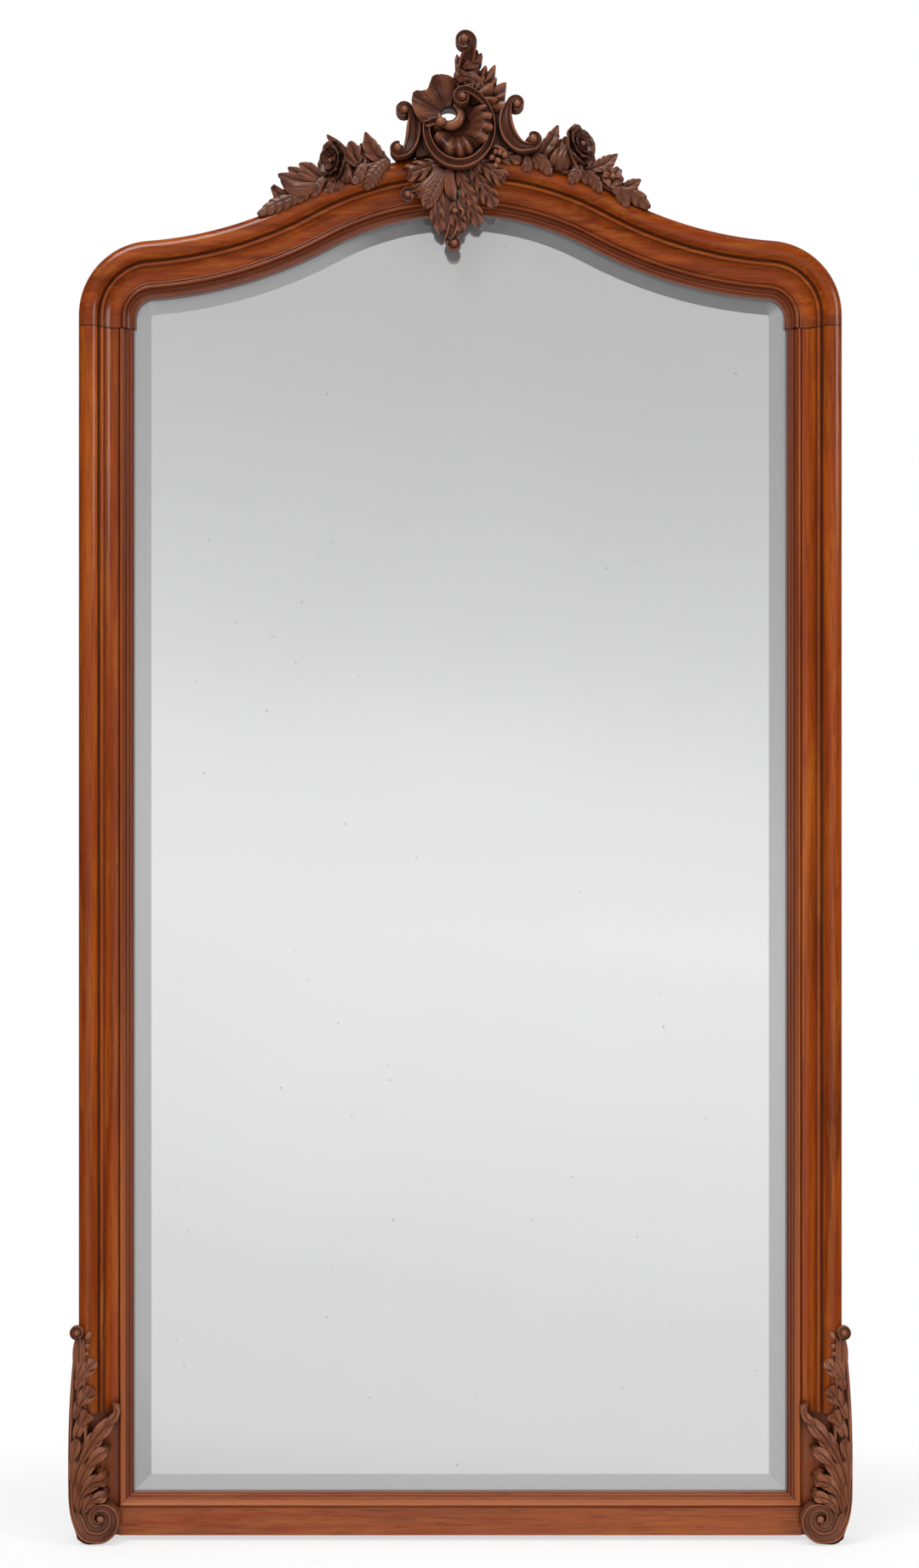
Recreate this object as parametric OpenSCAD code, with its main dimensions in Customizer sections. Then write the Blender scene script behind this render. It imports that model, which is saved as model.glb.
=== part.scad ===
// Carved wall mirror with an arched head. The front faces -Y and the mirror stands on its feet at z = 0.

/* [Overall] */
// Depth from the wall to the front of the crest
overall_d = 98; // [94:1:120]
// Width across the stiles
frame_w = 1110; // [1000:10:1240]
// Height of the centres of the head's round corners
corner_z = 1787; // [1500:10:1900]
// Thickness of the frame at its outer roll
frame_d = 56; // [54:1:60]

/* [Arched head] */
// Radius of the outer corners
corner_r = 108; // [104:1:120]
// Slope of the shoulders where the corners end, in degrees
shoulder_slope = 4.2; // [2:0.2:8]
// Radius of the hollow sweep between shoulder and crown
sweep_r = 570; // [520:10:640]
// Slope where the sweep meets the crown, in degrees
crown_slope = 28.3; // [26:0.1:30]
// Drop from the corner centres to the joint between stile and head
joint_drop = 16; // [8:1:40]

/* [Stiles and rail] */
// Face width of the stiles, planted moulding included
stile_face = 77; // [76:1:80]
// Face width of the head
head_face = 80; // [77:1:84]
// Height of the lower edge of the glass opening
sight_z = 70; // [66:1:84]
// Height of the rail's underside above the floor
rail_z = 8; // [6:1:12]
// Thickness of the rail
rail_d = 34; // [32:1:36]

/* [Moulding] */
// Width of the outer roll
roll_w = 27; // [25:0.5:28]
// Radius of the outer roll
roll_r = 16; // [15:0.5:20]
// Fall from the top of the roll to the valley beside it
valley_fall = 14; // [12:0.5:15]
// Width of the valley
valley_w = 2; // [1.5:0.5:3]
// Radius of the bead beyond the valley
bead_r = 3.3; // [2.5:0.1:3.6]
// Fall of the broad hollow towards the glass
hollow_fall = 9; // [7:0.5:10]
// Width of the moulding that is planted round the glass
plant_w = 21; // [19:0.5:22]
// Height of the planted moulding above its seat
plant_h = 12; // [11:0.5:13]
// Radius of the bead on the planted moulding
plant_bead_r = 3.1; // [2.6:0.1:3.5]

/* [Rebates and glass] */
// Height of the glass seat above the wall plane
lip_t = 26; // [24:0.5:28]
// Width of the lip that covers the edge of the glass
lip_w = 10; // [8:0.5:12]
// Width of the ledge that the backboards lie on
ledge_w = 13; // [11:0.5:14]
// Depth of the backboards' recess
board_recess = 9; // [8:0.5:10]
// Play round the edge of the glass
glass_play = 1; // [0.5:0.1:1.5]
// Thickness of the mirror plate
plate_d = 6; // [5:0.5:7]
// Visible width of the bevel beside the stiles
bevel_w = 26; // [20:1:26]
// Fall of the bevel to the plate's edge
bevel_fall = 3; // [2:0.5:3.5]

/* [Joinery] */
// Gap where loose wooden parts fit each other
fit = 0.2; // [0.1:0.05:0.4]
// Length that the rail's tenons enter the stiles
tenon_len = 38; // [30:1:42]
// Thickness of all tenons
tenon_d = 12; // [10:0.5:13]
// Width of the loose tenons between stiles and head
loose_w = 36; // [24:1:38]
// Depth that the loose tenons enter each side
loose_len = 40; // [30:1:45]
// Radius of the pegs
peg_r = 4; // [3:0.5:5]
// Gap between neighbouring backboards
board_gap = 1; // [0.5:0.1:2]
// Radius of the screw shanks
screw_r = 1.8; // [1.5:0.1:2.2]

/* [Hanging plates] */
// Height of the hanging holes
hang_z = 1640; // [1400:10:1700]
// Distance from a stile's outer edge to its hanging hole
hang_u = 28; // [24:1:30]
// Radius of the hanging holes
hang_r = 5; // [4:0.5:6]
// Thickness of the iron plates
iron_d = 3; // [2:0.5:4]

/* [Crest] */
// Height of the cartouche's middle above the crown of the head
crest_rise = 30; // [28:1:34]
// Radius of the C-scroll round the shell
c_scroll_r = 52; // [48:1:54]
// Thickness of the C-scroll
c_scroll_d = 14; // [12:0.5:16]
// Radius of the pierced hole
pierce_r = 10.4; // [8:0.2:11]
// Radius of the finial's scroll
finial_r = 15.4; // [13:0.2:16]
// Height of the roses above their leaves
rose_h = 26; // [22:1:30]
// Radius of the right rose
rose_right_r = 27; // [24:0.5:28]
// Radius of the left rose
rose_left_r = 22; // [20:0.5:24]

/* [Carved feet] */
// Height where the foot carving begins on the stile's outer edge
foot_top_z = 300; // [280:1:340]
// Height of the top of the plain ground behind the foot carving
foot_seat_z = 190; // [180:1:200]
// Swell of the foot beyond the stile's outer edge
foot_swell = 14.5; // [10:0.5:16]
// Level of the plain ground above the wall plane
foot_ground_t = 31; // [30:0.5:32]
// Front of the foot scroll above the wall plane
foot_front_t = 60; // [58:0.5:64]
// Radius of the foot scroll
foot_scroll_r = 24; // [22:0.5:25]

/* [Hidden] */
$fn = 48;
// Small overlap of solids that run into each other, and slit between sweeps that a core joins
lap = 0.02;
hair = 0.001;
// Extra length of a cutter past the face that it cuts
cut = 1;
half_w = frame_w / 2;
back_y = overall_d / 2;
joint_z = corner_z - joint_drop;
head_extra = head_face - stile_face;

// Layout of the head: each arc runs on from the last without a corner
function from_vertical(a) = [sin(a), cos(a)];
corner_c = [half_w - corner_r, corner_z];
sweep_c = corner_c + (corner_r + sweep_r) * from_vertical(shoulder_slope);
crown_end = sweep_c - sweep_r * from_vertical(crown_slope);
crown_r = crown_end[0] / sin(crown_slope);
crown_c = [0, crown_end[1] - crown_r * cos(crown_slope)];
apex_z = crown_c[1] + crown_r;
// Height of the head's outer edge at a distance from the middle, and a place above it
function head_top(x) = x < crown_end[0]
    ? crown_c[1] + sqrt(pow(crown_r, 2) - pow(x, 2))
    : sweep_c[1] - sqrt(pow(sweep_r, 2) - pow(sweep_c[0] - x, 2));
function on_head(x, rise) = [x, head_top(x) + rise];

// Distances across the moulding, from its outer edge
arris_w = 2;
plant_u = stile_face - plant_w;
rebate_u = stile_face - lip_w;
board_u = rebate_u - ledge_w;
bead_u = roll_w + valley_w + bead_r;
hollow_u = bead_u + bead_r + 1;
hollow_end_u = plant_u - arris_w;
// Levels above the wall plane
valley_t = frame_d - valley_fall;
hollow_t = valley_t + 1;
arris_t = hollow_t - hollow_fall + 1;
plant_top_t = lip_t + plant_h;
fillet_t = lip_t + 5;
fillet_w = 5;
quirk_w = 1.2;
// Line from which the rail's widths are measured
base_z = sight_z - stile_face;
rail_top_z = base_z + rebate_u;

// The plate's flat face stands forward of the lip, so that its bevel bears on the lip
plate_u = rebate_u + glass_play;
bevel_run = stile_face + bevel_w - plate_u;
bear_gap = 0.1;
plate_face_t = lip_t - bear_gap + bevel_fall * (bevel_w - max(head_extra, 0)) / bevel_run;
plate_back_t = plate_face_t - plate_d;

// Joinery
tenon_t = lip_t - 2 - tenon_d;
tenon_inset = 8;
tenon_z0 = rail_z + tenon_inset;
tenon_z1 = rail_top_z - tenon_inset;
peg_u = plant_u - tenon_len / 2;
peg_z = (tenon_z0 + tenon_z1) / 2;
peg_t1 = tenon_t + tenon_d + 2;
loose_u = 10;
crown_tenon_w = 22;
crown_tenon_x = 38;
crown_tenon_u = 8;
crown_tenon_t = tenon_t + 6;
board_low_z = base_z + board_u + 1;
board_count = 8;
board_pitch = (apex_z - board_u - 1 - board_low_z) / board_count;
board_end_u = board_u + 1;
board_front_t = board_recess;
board_back_t = 1;
board_screw_u = board_u + ledge_w / 2 + 1;
board_screw_len = 20;
screw_head_r = 2 * screw_r;
screw_head_d = 2;
block_l = 50;
block_w = 11;

// Hanging plates
iron_w = 28;
iron_h = 70;
pocket_w = 20;
pocket_h = 28;
pocket_d = 18;
iron_screw_off = 26;
iron_screw_len = 16;

// Carving: over_t is just in front of the roll, and places on the crest are measured from crest_c
over_t = frame_d + 0.3;
crest_c = [0, apex_z + crest_rise];
cleat_d = 10;
cleat_half_w = 56;
cleat_low_z = apex_z - board_u + 0.5;
cleat_top_z = apex_z + crest_rise + 6;
ground_t = cleat_d + fit;
ground_front_t = 60;
c_scroll_t = 72;
pierce_c = [-16.5, 20];
top_curl_c = [3, 44];
top_curl_r = 13;
low_curl_c = [-33.6, 11.5];
low_curl_r = 9;
finial_foot = 88;
finial_c = [4.3, 125.2];
finial_t = 34;
finial_front_t = 62;
finial_dowel_t = 46;
pendant_c = [-7, -164];
pendant_r = 12;
pendant_t = plant_top_t + 2;
leafage_front_t = 66;
leafage_fit_r = c_scroll_r + c_scroll_d / 2 + fit;
stem_r = 7;
stem_t = 50;
rose_right_c = on_head(170, 41);
rose_left_c = on_head(184, 27);
rose_seat_r = 20;
rose_t = 60;
dowel_r = 3;
foot_dowel_r = 4;
foot_dowels_at = [[31, foot_seat_z - 57], [30, foot_seat_z - 86]];
foot_scroll_c = [-35.5, 36];

wood = [0.42, 0.19, 0.1];
carved = [0.34, 0.17, 0.11];
pine = [0.68, 0.52, 0.34];
iron = [0.25, 0.25, 0.26];

// Draws in the plane of the wall: x is x, y is z, and z is the distance forward of the wall
module from_wall(t = 0) {
    translate([0, back_y - t, 0]) rotate([90, 0, 0]) children();
}

module slab(t0, t1) {
    from_wall(t0) linear_extrude(t1 - t0) children();
}

module both_sides() {
    children();
    mirror([1, 0, 0]) children();
}

// Sections are drawn as (distance from the outer edge, distance from the wall)
module upright(z0, z1) {
    translate([half_w, back_y, z0]) linear_extrude(z1 - z0) rotate(180) children();
}

module along_rail(x0, x1) {
    translate([x0, back_y, base_z]) rotate([90, 0, 90]) linear_extrude(x1 - x0) rotate(90) children();
}

// Carries a section round an arc: inward where the outer edge is the outside of the arc
module round_arc(centre, r, a0, a1, inward) {
    from_wall() translate([centre[0], centre[1], 0]) rotate([0, 0, a0])
        rotate_extrude(angle = a1 - a0, $fn = 180) translate([r, 0]) mirror([inward ? 1 : 0, 0]) children();
}

// The right half of the head, down to z0: four sweeps of the first child that stop a hair short of
// each other, and short cores of the second child that join them inside
module along_head(z0, a1 = 90) {
    round_arc(crown_c, crown_r, 90 - crown_slope + hair, a1, true) children(0);
    round_arc(sweep_c, sweep_r, 270 - crown_slope, 270 - shoulder_slope - hair, false) children(0);
    round_arc(corner_c, corner_r, 0, 90 - shoulder_slope, true) children(0);
    upright(z0, corner_z - hair) children(0);
    round_arc(crown_c, crown_r, 89 - crown_slope, 91 - crown_slope, true) children(1);
    round_arc(corner_c, corner_r, 87 - shoulder_slope, 93 - shoulder_slope, true) children(1);
    upright(corner_z - 5, corner_z + 5) children(1);
}

module head_core() {
    translate([3, board_recess + 2]) square([board_u, lip_t - board_recess]);
}

// Area inside the head's curve, drawn in by a given distance, from z0 upwards
module head_area(inset, z0) {
    sweep_low = sweep_c - (sweep_r + inset) * from_vertical(crown_slope);
    sweep_high = corner_c + (corner_r - inset) * from_vertical(shoulder_slope);
    for (side = [0, 1]) mirror([side, 0]) difference() {
        union() {
            polygon([[0, z0], [half_w - inset, z0], [half_w - inset, corner_z], corner_c,
                sweep_high, sweep_low, [0, sweep_low[1]]]);
            intersection() {
                translate(crown_c) circle(crown_r - inset, $fn = 180);
                translate([0, corner_z]) square([crown_end[0] + inset, apex_z]);
            }
            translate(corner_c) circle(corner_r - inset, $fn = 90);
        }
        translate(sweep_c) circle(sweep_r + inset, $fn = 180);
    }
}

// Outer roll, valley, bead and hollow, down to the planted moulding
module outer_moulding(extra) {
    hollow_l = hollow_end_u + extra - hollow_u;
    hollow_r = (hollow_l * hollow_l + hollow_fall * hollow_fall) / (2 * hollow_fall);
    intersection() {
        translate([roll_w / 2, frame_d - roll_r]) circle(roll_r);
        square([roll_w, frame_d]);
    }
    square([roll_w, frame_d - roll_r]);
    square([hollow_u, valley_t]);
    translate([bead_u, valley_t]) circle(bead_r, $fn = 24);
    square([plant_u + extra, arris_t]);
    difference() {
        translate([hollow_u - lap, 0]) square([hollow_l + lap, hollow_t]);
        translate([hollow_end_u + extra, hollow_t - hollow_fall + hollow_r]) circle(hollow_r, $fn = 90);
    }
}

// Bead, cove and fillet of the planted moulding, which also holds the glass
module plant_section(extra) {
    bead_end = quirk_w + 2 * plant_bead_r + 1.5;
    cove_top = plant_top_t - plant_bead_r;
    cove_r = cove_top - fillet_t;
    translate([plant_u + extra, lip_t]) {
        square([plant_w, fillet_t - lip_t]);
        translate([quirk_w, 0]) square([bead_end - quirk_w, cove_top - lip_t]);
        translate([quirk_w + plant_bead_r, cove_top - lip_t]) circle(plant_bead_r, $fn = 24);
        difference() {
            square([bead_end + cove_r, cove_top - lip_t]);
            square([quirk_w, plant_h]);
            translate([bead_end + cove_r, cove_top - lip_t]) circle(cove_r);
        }
    }
}

module rebates() {
    translate([rebate_u, board_recess - cut]) square([plant_w + head_extra, lip_t - board_recess + cut]);
    translate([board_u, -cut]) square([plant_w + ledge_w + head_extra, board_recess + cut]);
}

module stile_section() {
    difference() {
        union() {
            intersection() {
                outer_moulding(0);
                square([plant_u, frame_d]);
            }
            square([rebate_u, lip_t]);
        }
        rebates();
    }
}

module head_section() {
    difference() {
        union() {
            outer_moulding(head_extra);
            square([stile_face + head_extra, lip_t]);
            plant_section(head_extra);
        }
        rebates();
    }
}

module rail_section() {
    difference() {
        union() {
            translate([rail_z - base_z, 0]) square([plant_u - rail_z + base_z, rail_d]);
            translate([rail_z - base_z, 0]) square([rebate_u - rail_z + base_z, lip_t]);
        }
        rebates();
    }
}

// Box given by distances from the stile's outer edge, from the wall and from the floor
module stile_box(u0, u1, t0, t1, z0, z1) {
    translate([half_w - u1, back_y - t1, z0]) cube([u1 - u0, t1 - t0, z1 - z0]);
}

module pin_at(place, r, t0, t1) {
    from_wall(t0) translate([place[0], place[1], 0]) cylinder(r = r, h = t1 - t0, $fn = 24);
}

// A slotted countersunk screw driven from behind
module screw_at(place, t0, length) {
    difference() {
        union() {
            pin_at(place, screw_r, t0, t0 + length);
            pin_at(place, screw_head_r, t0, t0 + screw_head_d);
        }
        slab(t0 - cut, t0 + 0.8) translate(place) square([0.8, 2 * screw_head_r + cut], center = true);
    }
}

module screw_hole(place, t0, length) {
    pin_at(place, screw_r, t0 - cut, t0 + length);
    pin_at(place, screw_head_r, t0 - cut, t0 + screw_head_d);
}

function board_z(i) = board_low_z + i * board_pitch;
function board_place(i, s) = [half_w - board_screw_u, board_z(i) + s * board_pitch];
// Each board has two screws at each end, as long as its ends are straight
side_places = [for (i = [0:board_count - 1]) for (s = [0.25, 0.75])
    if (board_place(i, s)[1] < joint_z - 20) board_place(i, s)];
rail_places = [for (k = [0.2, 0.6]) [k * half_w, base_z + board_screw_u]];
crown_places = [for (k = [0.35, 0.8]) crown_c + (crown_r - board_screw_u) * from_vertical(k * crown_slope)];
board_places = concat(side_places, crown_places);
iron_places = [for (s = [-1, 1]) [half_w - hang_u, hang_z + s * iron_screw_off]];
cleat_arch_place = [48, apex_z - 24];
cleat_crest_place = [14, apex_z + 20];
cleat_screw_len = 27;
leafage_place = [26, apex_z - 34];
leafage_screw_len = 62;
// Pins of the garlands, at these angles round the crown
pin_angles = [15, 20, 25];
pin_len = 16;
pin_r = 1;
pin_places = [for (a = pin_angles) crown_c + (crown_r - 9) * from_vertical(a)];

module stile_right() {
    color(wood) difference() {
        union() {
            upright(foot_seat_z, joint_z) stile_section();
            upright(rail_z, foot_seat_z) intersection() {
                stile_section();
                square([rebate_u, foot_ground_t]);
            }
        }
        // Shoulder and mortise of the rail, with its peg
        stile_box(plant_u, rebate_u + cut, -cut, frame_d, rail_z - cut, rail_top_z);
        stile_box(plant_u - tenon_len - fit, plant_u + cut, tenon_t - fit, tenon_t + tenon_d + fit,
            tenon_z0 - fit, tenon_z1 + fit);
        pin_at([half_w - peg_u, peg_z], peg_r, -cut, peg_t1);
        // Mortise of the loose tenon
        stile_box(loose_u - fit, loose_u + loose_w + fit, tenon_t - fit, tenon_t + tenon_d + fit,
            joint_z - loose_len - fit, joint_z + cut);
        for (p = foot_dowels_at)
            pin_at([half_w - p[0], p[1]], foot_dowel_r, foot_ground_t - 14, foot_ground_t + cut);
        // Seat, pocket and screw holes of the hanging plate
        stile_box(hang_u - iron_w / 2, hang_u + iron_w / 2, -cut, iron_d, hang_z - iron_h / 2,
            hang_z + iron_h / 2);
        stile_box(hang_u - pocket_w / 2, hang_u + pocket_w / 2, -cut, iron_d + pocket_d,
            hang_z - pocket_h / 2, hang_z + pocket_h / 2);
        for (p = iron_places) screw_hole(p, 0, iron_screw_len);
        for (p = side_places) pin_at(p, screw_r, board_recess - cut, board_back_t + board_screw_len);
    }
}

module stile_left() { mirror([1, 0, 0]) stile_right(); }

module arch_right() {
    color(wood) difference() {
        along_head(joint_z) {
            head_section();
            head_core();
        }
        stile_box(loose_u - fit, loose_u + loose_w + fit, tenon_t - fit, tenon_t + tenon_d + fit,
            joint_z - cut, joint_z + loose_len + fit);
        slab(crown_tenon_t - fit, crown_tenon_t + tenon_d + fit)
            translate([-cut, apex_z - crown_tenon_u - crown_tenon_w - fit])
                square([crown_tenon_x + fit + cut, crown_tenon_w + 2 * fit]);
        slab(-cut, cleat_d) translate([-cut, apex_z - board_u - 2])
            square([cleat_half_w + fit + cut, 2 * board_u]);
        for (p = crown_places) pin_at(p, screw_r, board_recess - cut, board_back_t + board_screw_len);
        screw_hole(cleat_arch_place, 0, cleat_screw_len);
        screw_hole(leafage_place, 0, leafage_screw_len);
        for (p = pin_places) pin_at(p, pin_r, over_t - pin_len, over_t + cut);
    }
}

module arch_left() { mirror([1, 0, 0]) arch_right(); }

module bottom_rail() {
    shoulder = half_w - plant_u;
    color(wood) difference() {
        union() {
            along_rail(-shoulder, shoulder) rail_section();
            translate([-shoulder - tenon_len, back_y - tenon_t - tenon_d, tenon_z0])
                cube([2 * (shoulder + tenon_len), tenon_d, tenon_z1 - tenon_z0]);
        }
        both_sides() pin_at([half_w - peg_u, peg_z], peg_r, -cut, peg_t1);
        both_sides() for (p = rail_places)
            pin_at(p, screw_r, board_recess - cut, board_back_t + board_screw_len);
    }
}

module planted_upright() {
    color(wood) intersection() {
        upright(base_z, joint_z) plant_section(0);
        slab(0, frame_d) polygon([[half_w - stile_face, sight_z], [half_w - plant_u, sight_z - plant_w],
            [half_w - plant_u, joint_z], [half_w - stile_face, joint_z]]);
    }
}

module sight_moulding_right() { planted_upright(); }
module sight_moulding_left() { mirror([1, 0, 0]) planted_upright(); }

module sight_moulding_bottom() {
    inner = half_w - stile_face;
    outer = half_w - plant_u;
    color(wood) intersection() {
        along_rail(-outer, outer) plant_section(0);
        slab(0, frame_d) polygon([[-inner, sight_z], [inner, sight_z],
            [outer, sight_z - plant_w], [-outer, sight_z - plant_w]]);
    }
}

module head_tenons() {
    color(pine) both_sides() stile_box(loose_u, loose_u + loose_w, tenon_t, tenon_t + tenon_d,
        joint_z - loose_len, joint_z + loose_len);
}

module crown_tenon() {
    color(pine) slab(crown_tenon_t, crown_tenon_t + tenon_d)
        translate([-crown_tenon_x, apex_z - crown_tenon_u - crown_tenon_w])
            square([2 * crown_tenon_x, crown_tenon_w]);
}

module rail_pegs() {
    color(pine) both_sides() pin_at([half_w - peg_u, peg_z], peg_r - 0.05, 0.5, peg_t1 - fit);
}

// Bevelled edge of the plate, and the core that joins its sweeps
module plate_section() {
    inner_u = plate_u + bevel_run;
    polygon([[plate_u, plate_back_t], [plate_u, plate_face_t - bevel_fall], [inner_u, plate_face_t],
        [inner_u + 1.5, plate_face_t], [inner_u + 1.5, plate_back_t]]);
}

module plate_core() { translate([plate_u + 6, plate_back_t + 0.8]) square([bevel_run - 14, 1.4]); }

module mirror_plate() {
    low_z = base_z + plate_u;
    inner_u = plate_u + bevel_run;
    color([0.8, 0.84, 0.85]) difference() {
        union() {
            slab(plate_back_t, plate_face_t) head_area(inner_u, low_z);
            both_sides() along_head(low_z, 90 + lap) {
                plate_section();
                plate_core();
            }
        }
        // Bevel along the rail, mitred with those of the stiles
        along_rail(-half_w, half_w) polygon([[plate_u, plate_face_t - bevel_fall], [inner_u, plate_face_t],
            [inner_u, plate_face_t + cut], [plate_u - cut, plate_face_t + cut],
            [plate_u - cut, plate_face_t - bevel_fall]]);
    }
}

// Softwood blocks glued in the rebate behind the plate
module glazing_blocks() {
    t1 = plate_back_t - fit;
    t0 = board_recess + fit;
    color(pine) {
        both_sides() {
            for (k = [0:3]) stile_box(rebate_u, rebate_u + block_w, t0, t1,
                200 + k * (joint_z - 400) / 3 - block_l / 2, 200 + k * (joint_z - 400) / 3 + block_l / 2);
            for (a = [crown_slope * 0.5])
                round_arc(crown_c, crown_r - rebate_u, 90 - a - 3, 90 - a + 3, true)
                    translate([0, t0]) square([block_w, t1 - t0]);
            translate([half_w / 2 - block_l / 2, back_y - t1, rail_top_z]) cube([block_l, t1 - t0, block_w]);
        }
    }
}

module backboard(i) {
    z0 = board_z(i);
    z1 = board_z(i + 1) - board_gap;
    color(pine) difference() {
        slab(board_back_t, board_front_t) intersection() {
            head_area(board_end_u, board_low_z);
            translate([-half_w, z0]) square([frame_w, i == board_count - 1 ? z1 : z1 - z0]);
        }
        both_sides() for (p = board_places)
            if (p[1] > z0 && p[1] < z1) screw_hole(p, board_back_t, board_screw_len);
        if (i == 0) both_sides() for (p = rail_places) screw_hole(p, board_back_t, board_screw_len);
    }
}

module backboard_screws() {
    color(iron) both_sides() {
        for (p = board_places) screw_at(p, board_back_t, board_screw_len);
        for (p = rail_places) screw_at(p, board_back_t, board_screw_len);
    }
}

module hanger_plate_right() {
    place = [half_w - hang_u, hang_z];
    color(iron) difference() {
        stile_box(hang_u - iron_w / 2 + fit, hang_u + iron_w / 2 - fit, 0, iron_d,
            hang_z - iron_h / 2 + fit, hang_z + iron_h / 2 - fit);
        pin_at(place, hang_r, -cut, iron_d + cut);
        for (p = iron_places) {
            pin_at(p, screw_r, -cut, iron_d + cut);
            pin_at(p, screw_head_r, -cut, screw_head_d);
        }
    }
}

module hanger_plate_left() { mirror([1, 0, 0]) hanger_plate_right(); }

module hanger_screws() {
    color(iron) both_sides() for (p = iron_places) screw_at(p, 0, iron_screw_len);
}

// Middle line of a leaf from base to tip, shifted sideways; bow bends it to the left of its way
function leaf_point(base, tip, bow, s, off) = let (d = tip - base, side = [-d[1], d[0]] / norm(d))
    base + d * s + side * (bow * 4 * s * (1 - s) + off);
function leaf_outline(base, tip, w, bow, n = 9) = concat(
    [for (i = [0:n]) leaf_point(base, tip, bow, i / n, w * sin(180 * pow(i / n, 0.75)))],
    [for (i = [n - 1:-1:1]) leaf_point(base, tip, bow, i / n, -w * sin(180 * pow(i / n, 0.75)))]);

// Leaves with a raised middle; each row gives base, tip, half width and bow
module leaves(rows, t0, t1) {
    for (i = [0:len(rows) - 1]) {
        row = rows[i];
        front = t1 + 0.7 * (i % 3);
        way = row[1] - row[0];
        slab(t0, front) polygon(leaf_outline(row[0], row[1], row[2], row[3]));
        slab(front - 0.5, front + 2)
            polygon(leaf_outline(row[0] + 0.15 * way, row[1] - 0.1 * way, row[2] * 0.5, row[3] * 0.8));
    }
}

// A scroll end with a bevelled rim and a groove round its raised eye
module volute(place, r, t0, t1, turn = 0) {
    e = r * 0.28;
    h = t1 - t0;
    from_wall(t0) translate([place[0], place[1], 0]) rotate([0, 0, turn]) rotate_extrude()
        polygon([[0, 0], [r, 0], [r, h - e], [r - e, h], [r * 0.56, h], [r * 0.5, h - 1.5],
            [r * 0.42, h - 1.5], [r * 0.36, h + 0.5], [0, h + 0.5]]);
}

// Part of a ring with a bevelled front
module ring_arc(centre, r, a0, a1, half, t0, t1) {
    from_wall() translate([centre[0], centre[1], 0]) rotate([0, 0, a0])
        rotate_extrude(angle = a1 - a0, $fn = 90) translate([r, 0])
            polygon([[-half, t0], [half, t0], [half, t1 - half * 0.7], [half * 0.4, t1],
                [-half * 0.4, t1], [-half, t1 - half * 0.7]]);
}

module ball(place, r, t) {
    from_wall(t) translate([place[0], place[1], 0]) sphere(r, $fn = 24);
}

// Space of the head's moulding, which the carving in front of it keeps clear of
module head_space() { slab(-cut, over_t) head_area(-fit, joint_z); }

function on_circle(r, a) = r * [cos(a), sin(a)];

// Flutes of the shell at the upper left, and ribs from the pierced hole to the C-scroll
flute_angles = [98, 111, 124, 137, 150];
flute_rows = [for (a = flute_angles) [crest_c + on_circle(18, a), crest_c + on_circle(72, a), 8, 0]];
rib_rows = [for (a = [-112:27:50]) [crest_c + on_circle(pierce_r, a - 20) + pierce_c,
    crest_c + on_circle(c_scroll_r - c_scroll_d / 2 + 1, a), 7, -2]];
collar_rows = [for (row = [
    [[20, 46], [50, 85], 9, -3],
    [[14, 50], [24, 86], 8, 0],
    [[34, 40], [67, 58], 8, 2]])
    [crest_c + row[0], crest_c + row[1], row[2], row[3]]];

module crest_outline() {
    circle(c_scroll_r + 4, $fn = 90);
    for (a = flute_angles) translate(on_circle(c_scroll_r + 11, a)) circle(11);
    translate([-74, -5]) circle(24);
    translate([78, 0]) circle(26);
}

module crest_cartouche() {
    color(carved) difference() {
        union() {
            slab(ground_t, ground_front_t) translate(crest_c) crest_outline();
            slab(24, ground_front_t + 3) translate(crest_c) polygon([[-12, 44], [-7, 66], [-6, finial_foot],
                [40, finial_foot], [43, 78], [46, 70], [56, 63], [58, 48], [40, 30], [20, 36]]);
            ring_arc(crest_c, c_scroll_r, 172, 435, c_scroll_d / 2, over_t - 5.2,
                c_scroll_t + c_scroll_d / 2);
            ring_arc(crest_c + low_curl_c + [-9, -2.5], 9, 180, 360, 5, over_t - 1.6, c_scroll_t + 6);
            volute(crest_c + low_curl_c, low_curl_r, over_t - 2.2, c_scroll_t + 12);
            volute(crest_c + top_curl_c, top_curl_r, over_t - 2.8, overall_d - 0.5, 180);
            volute(crest_c + pierce_c, pierce_r + 5.5, over_t - 3.4, 70);
            leaves(flute_rows, over_t - 4, ground_front_t + 4);
            leaves(rib_rows, over_t - 4.6, ground_front_t + 3);
            leaves(collar_rows, 40, ground_front_t + 5);
            // Left side scroll, then right side scroll
            ring_arc(crest_c + [-98.5, -5], 35.5, -60, 62, 6.5, 25.3, 70);
            volute(crest_c + [-85, 22], 11, 27, 74, 180);
            volute(crest_c + [-90, -31], 12, 28, 76, 180);
            ring_arc(crest_c + [90.5, 0], 33.4, 112, 291, 6.2, 24.7, 69);
            volute(crest_c + [81, 30], 10.4, 27, 73);
            volute(crest_c + [106, -19], 10.4, 28, 75);
            // Berries under the right side scroll
            pin_at(crest_c + [52, -35], 11, over_t - cut, 63);
            for (p = [[52, -29], [60, -35], [44.5, -37], [53, -42.5]]) ball(crest_c + p, 4.3, 65);
        }
        head_space();
        pin_at(crest_c + pierce_c, pierce_r, -cut, overall_d);
        both_sides() pin_at(cleat_crest_place, screw_r, ground_t - cut, cleat_screw_len);
        finial_dowel_space();
    }
}

module finial_dowel_space(play = 0.05) {
    translate([finial_c[0], back_y - finial_dowel_t, crest_c[1] + finial_foot - 17 - play])
        cylinder(r = dowel_r + play, h = 34 + 2 * play, $fn = 24);
}

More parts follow.
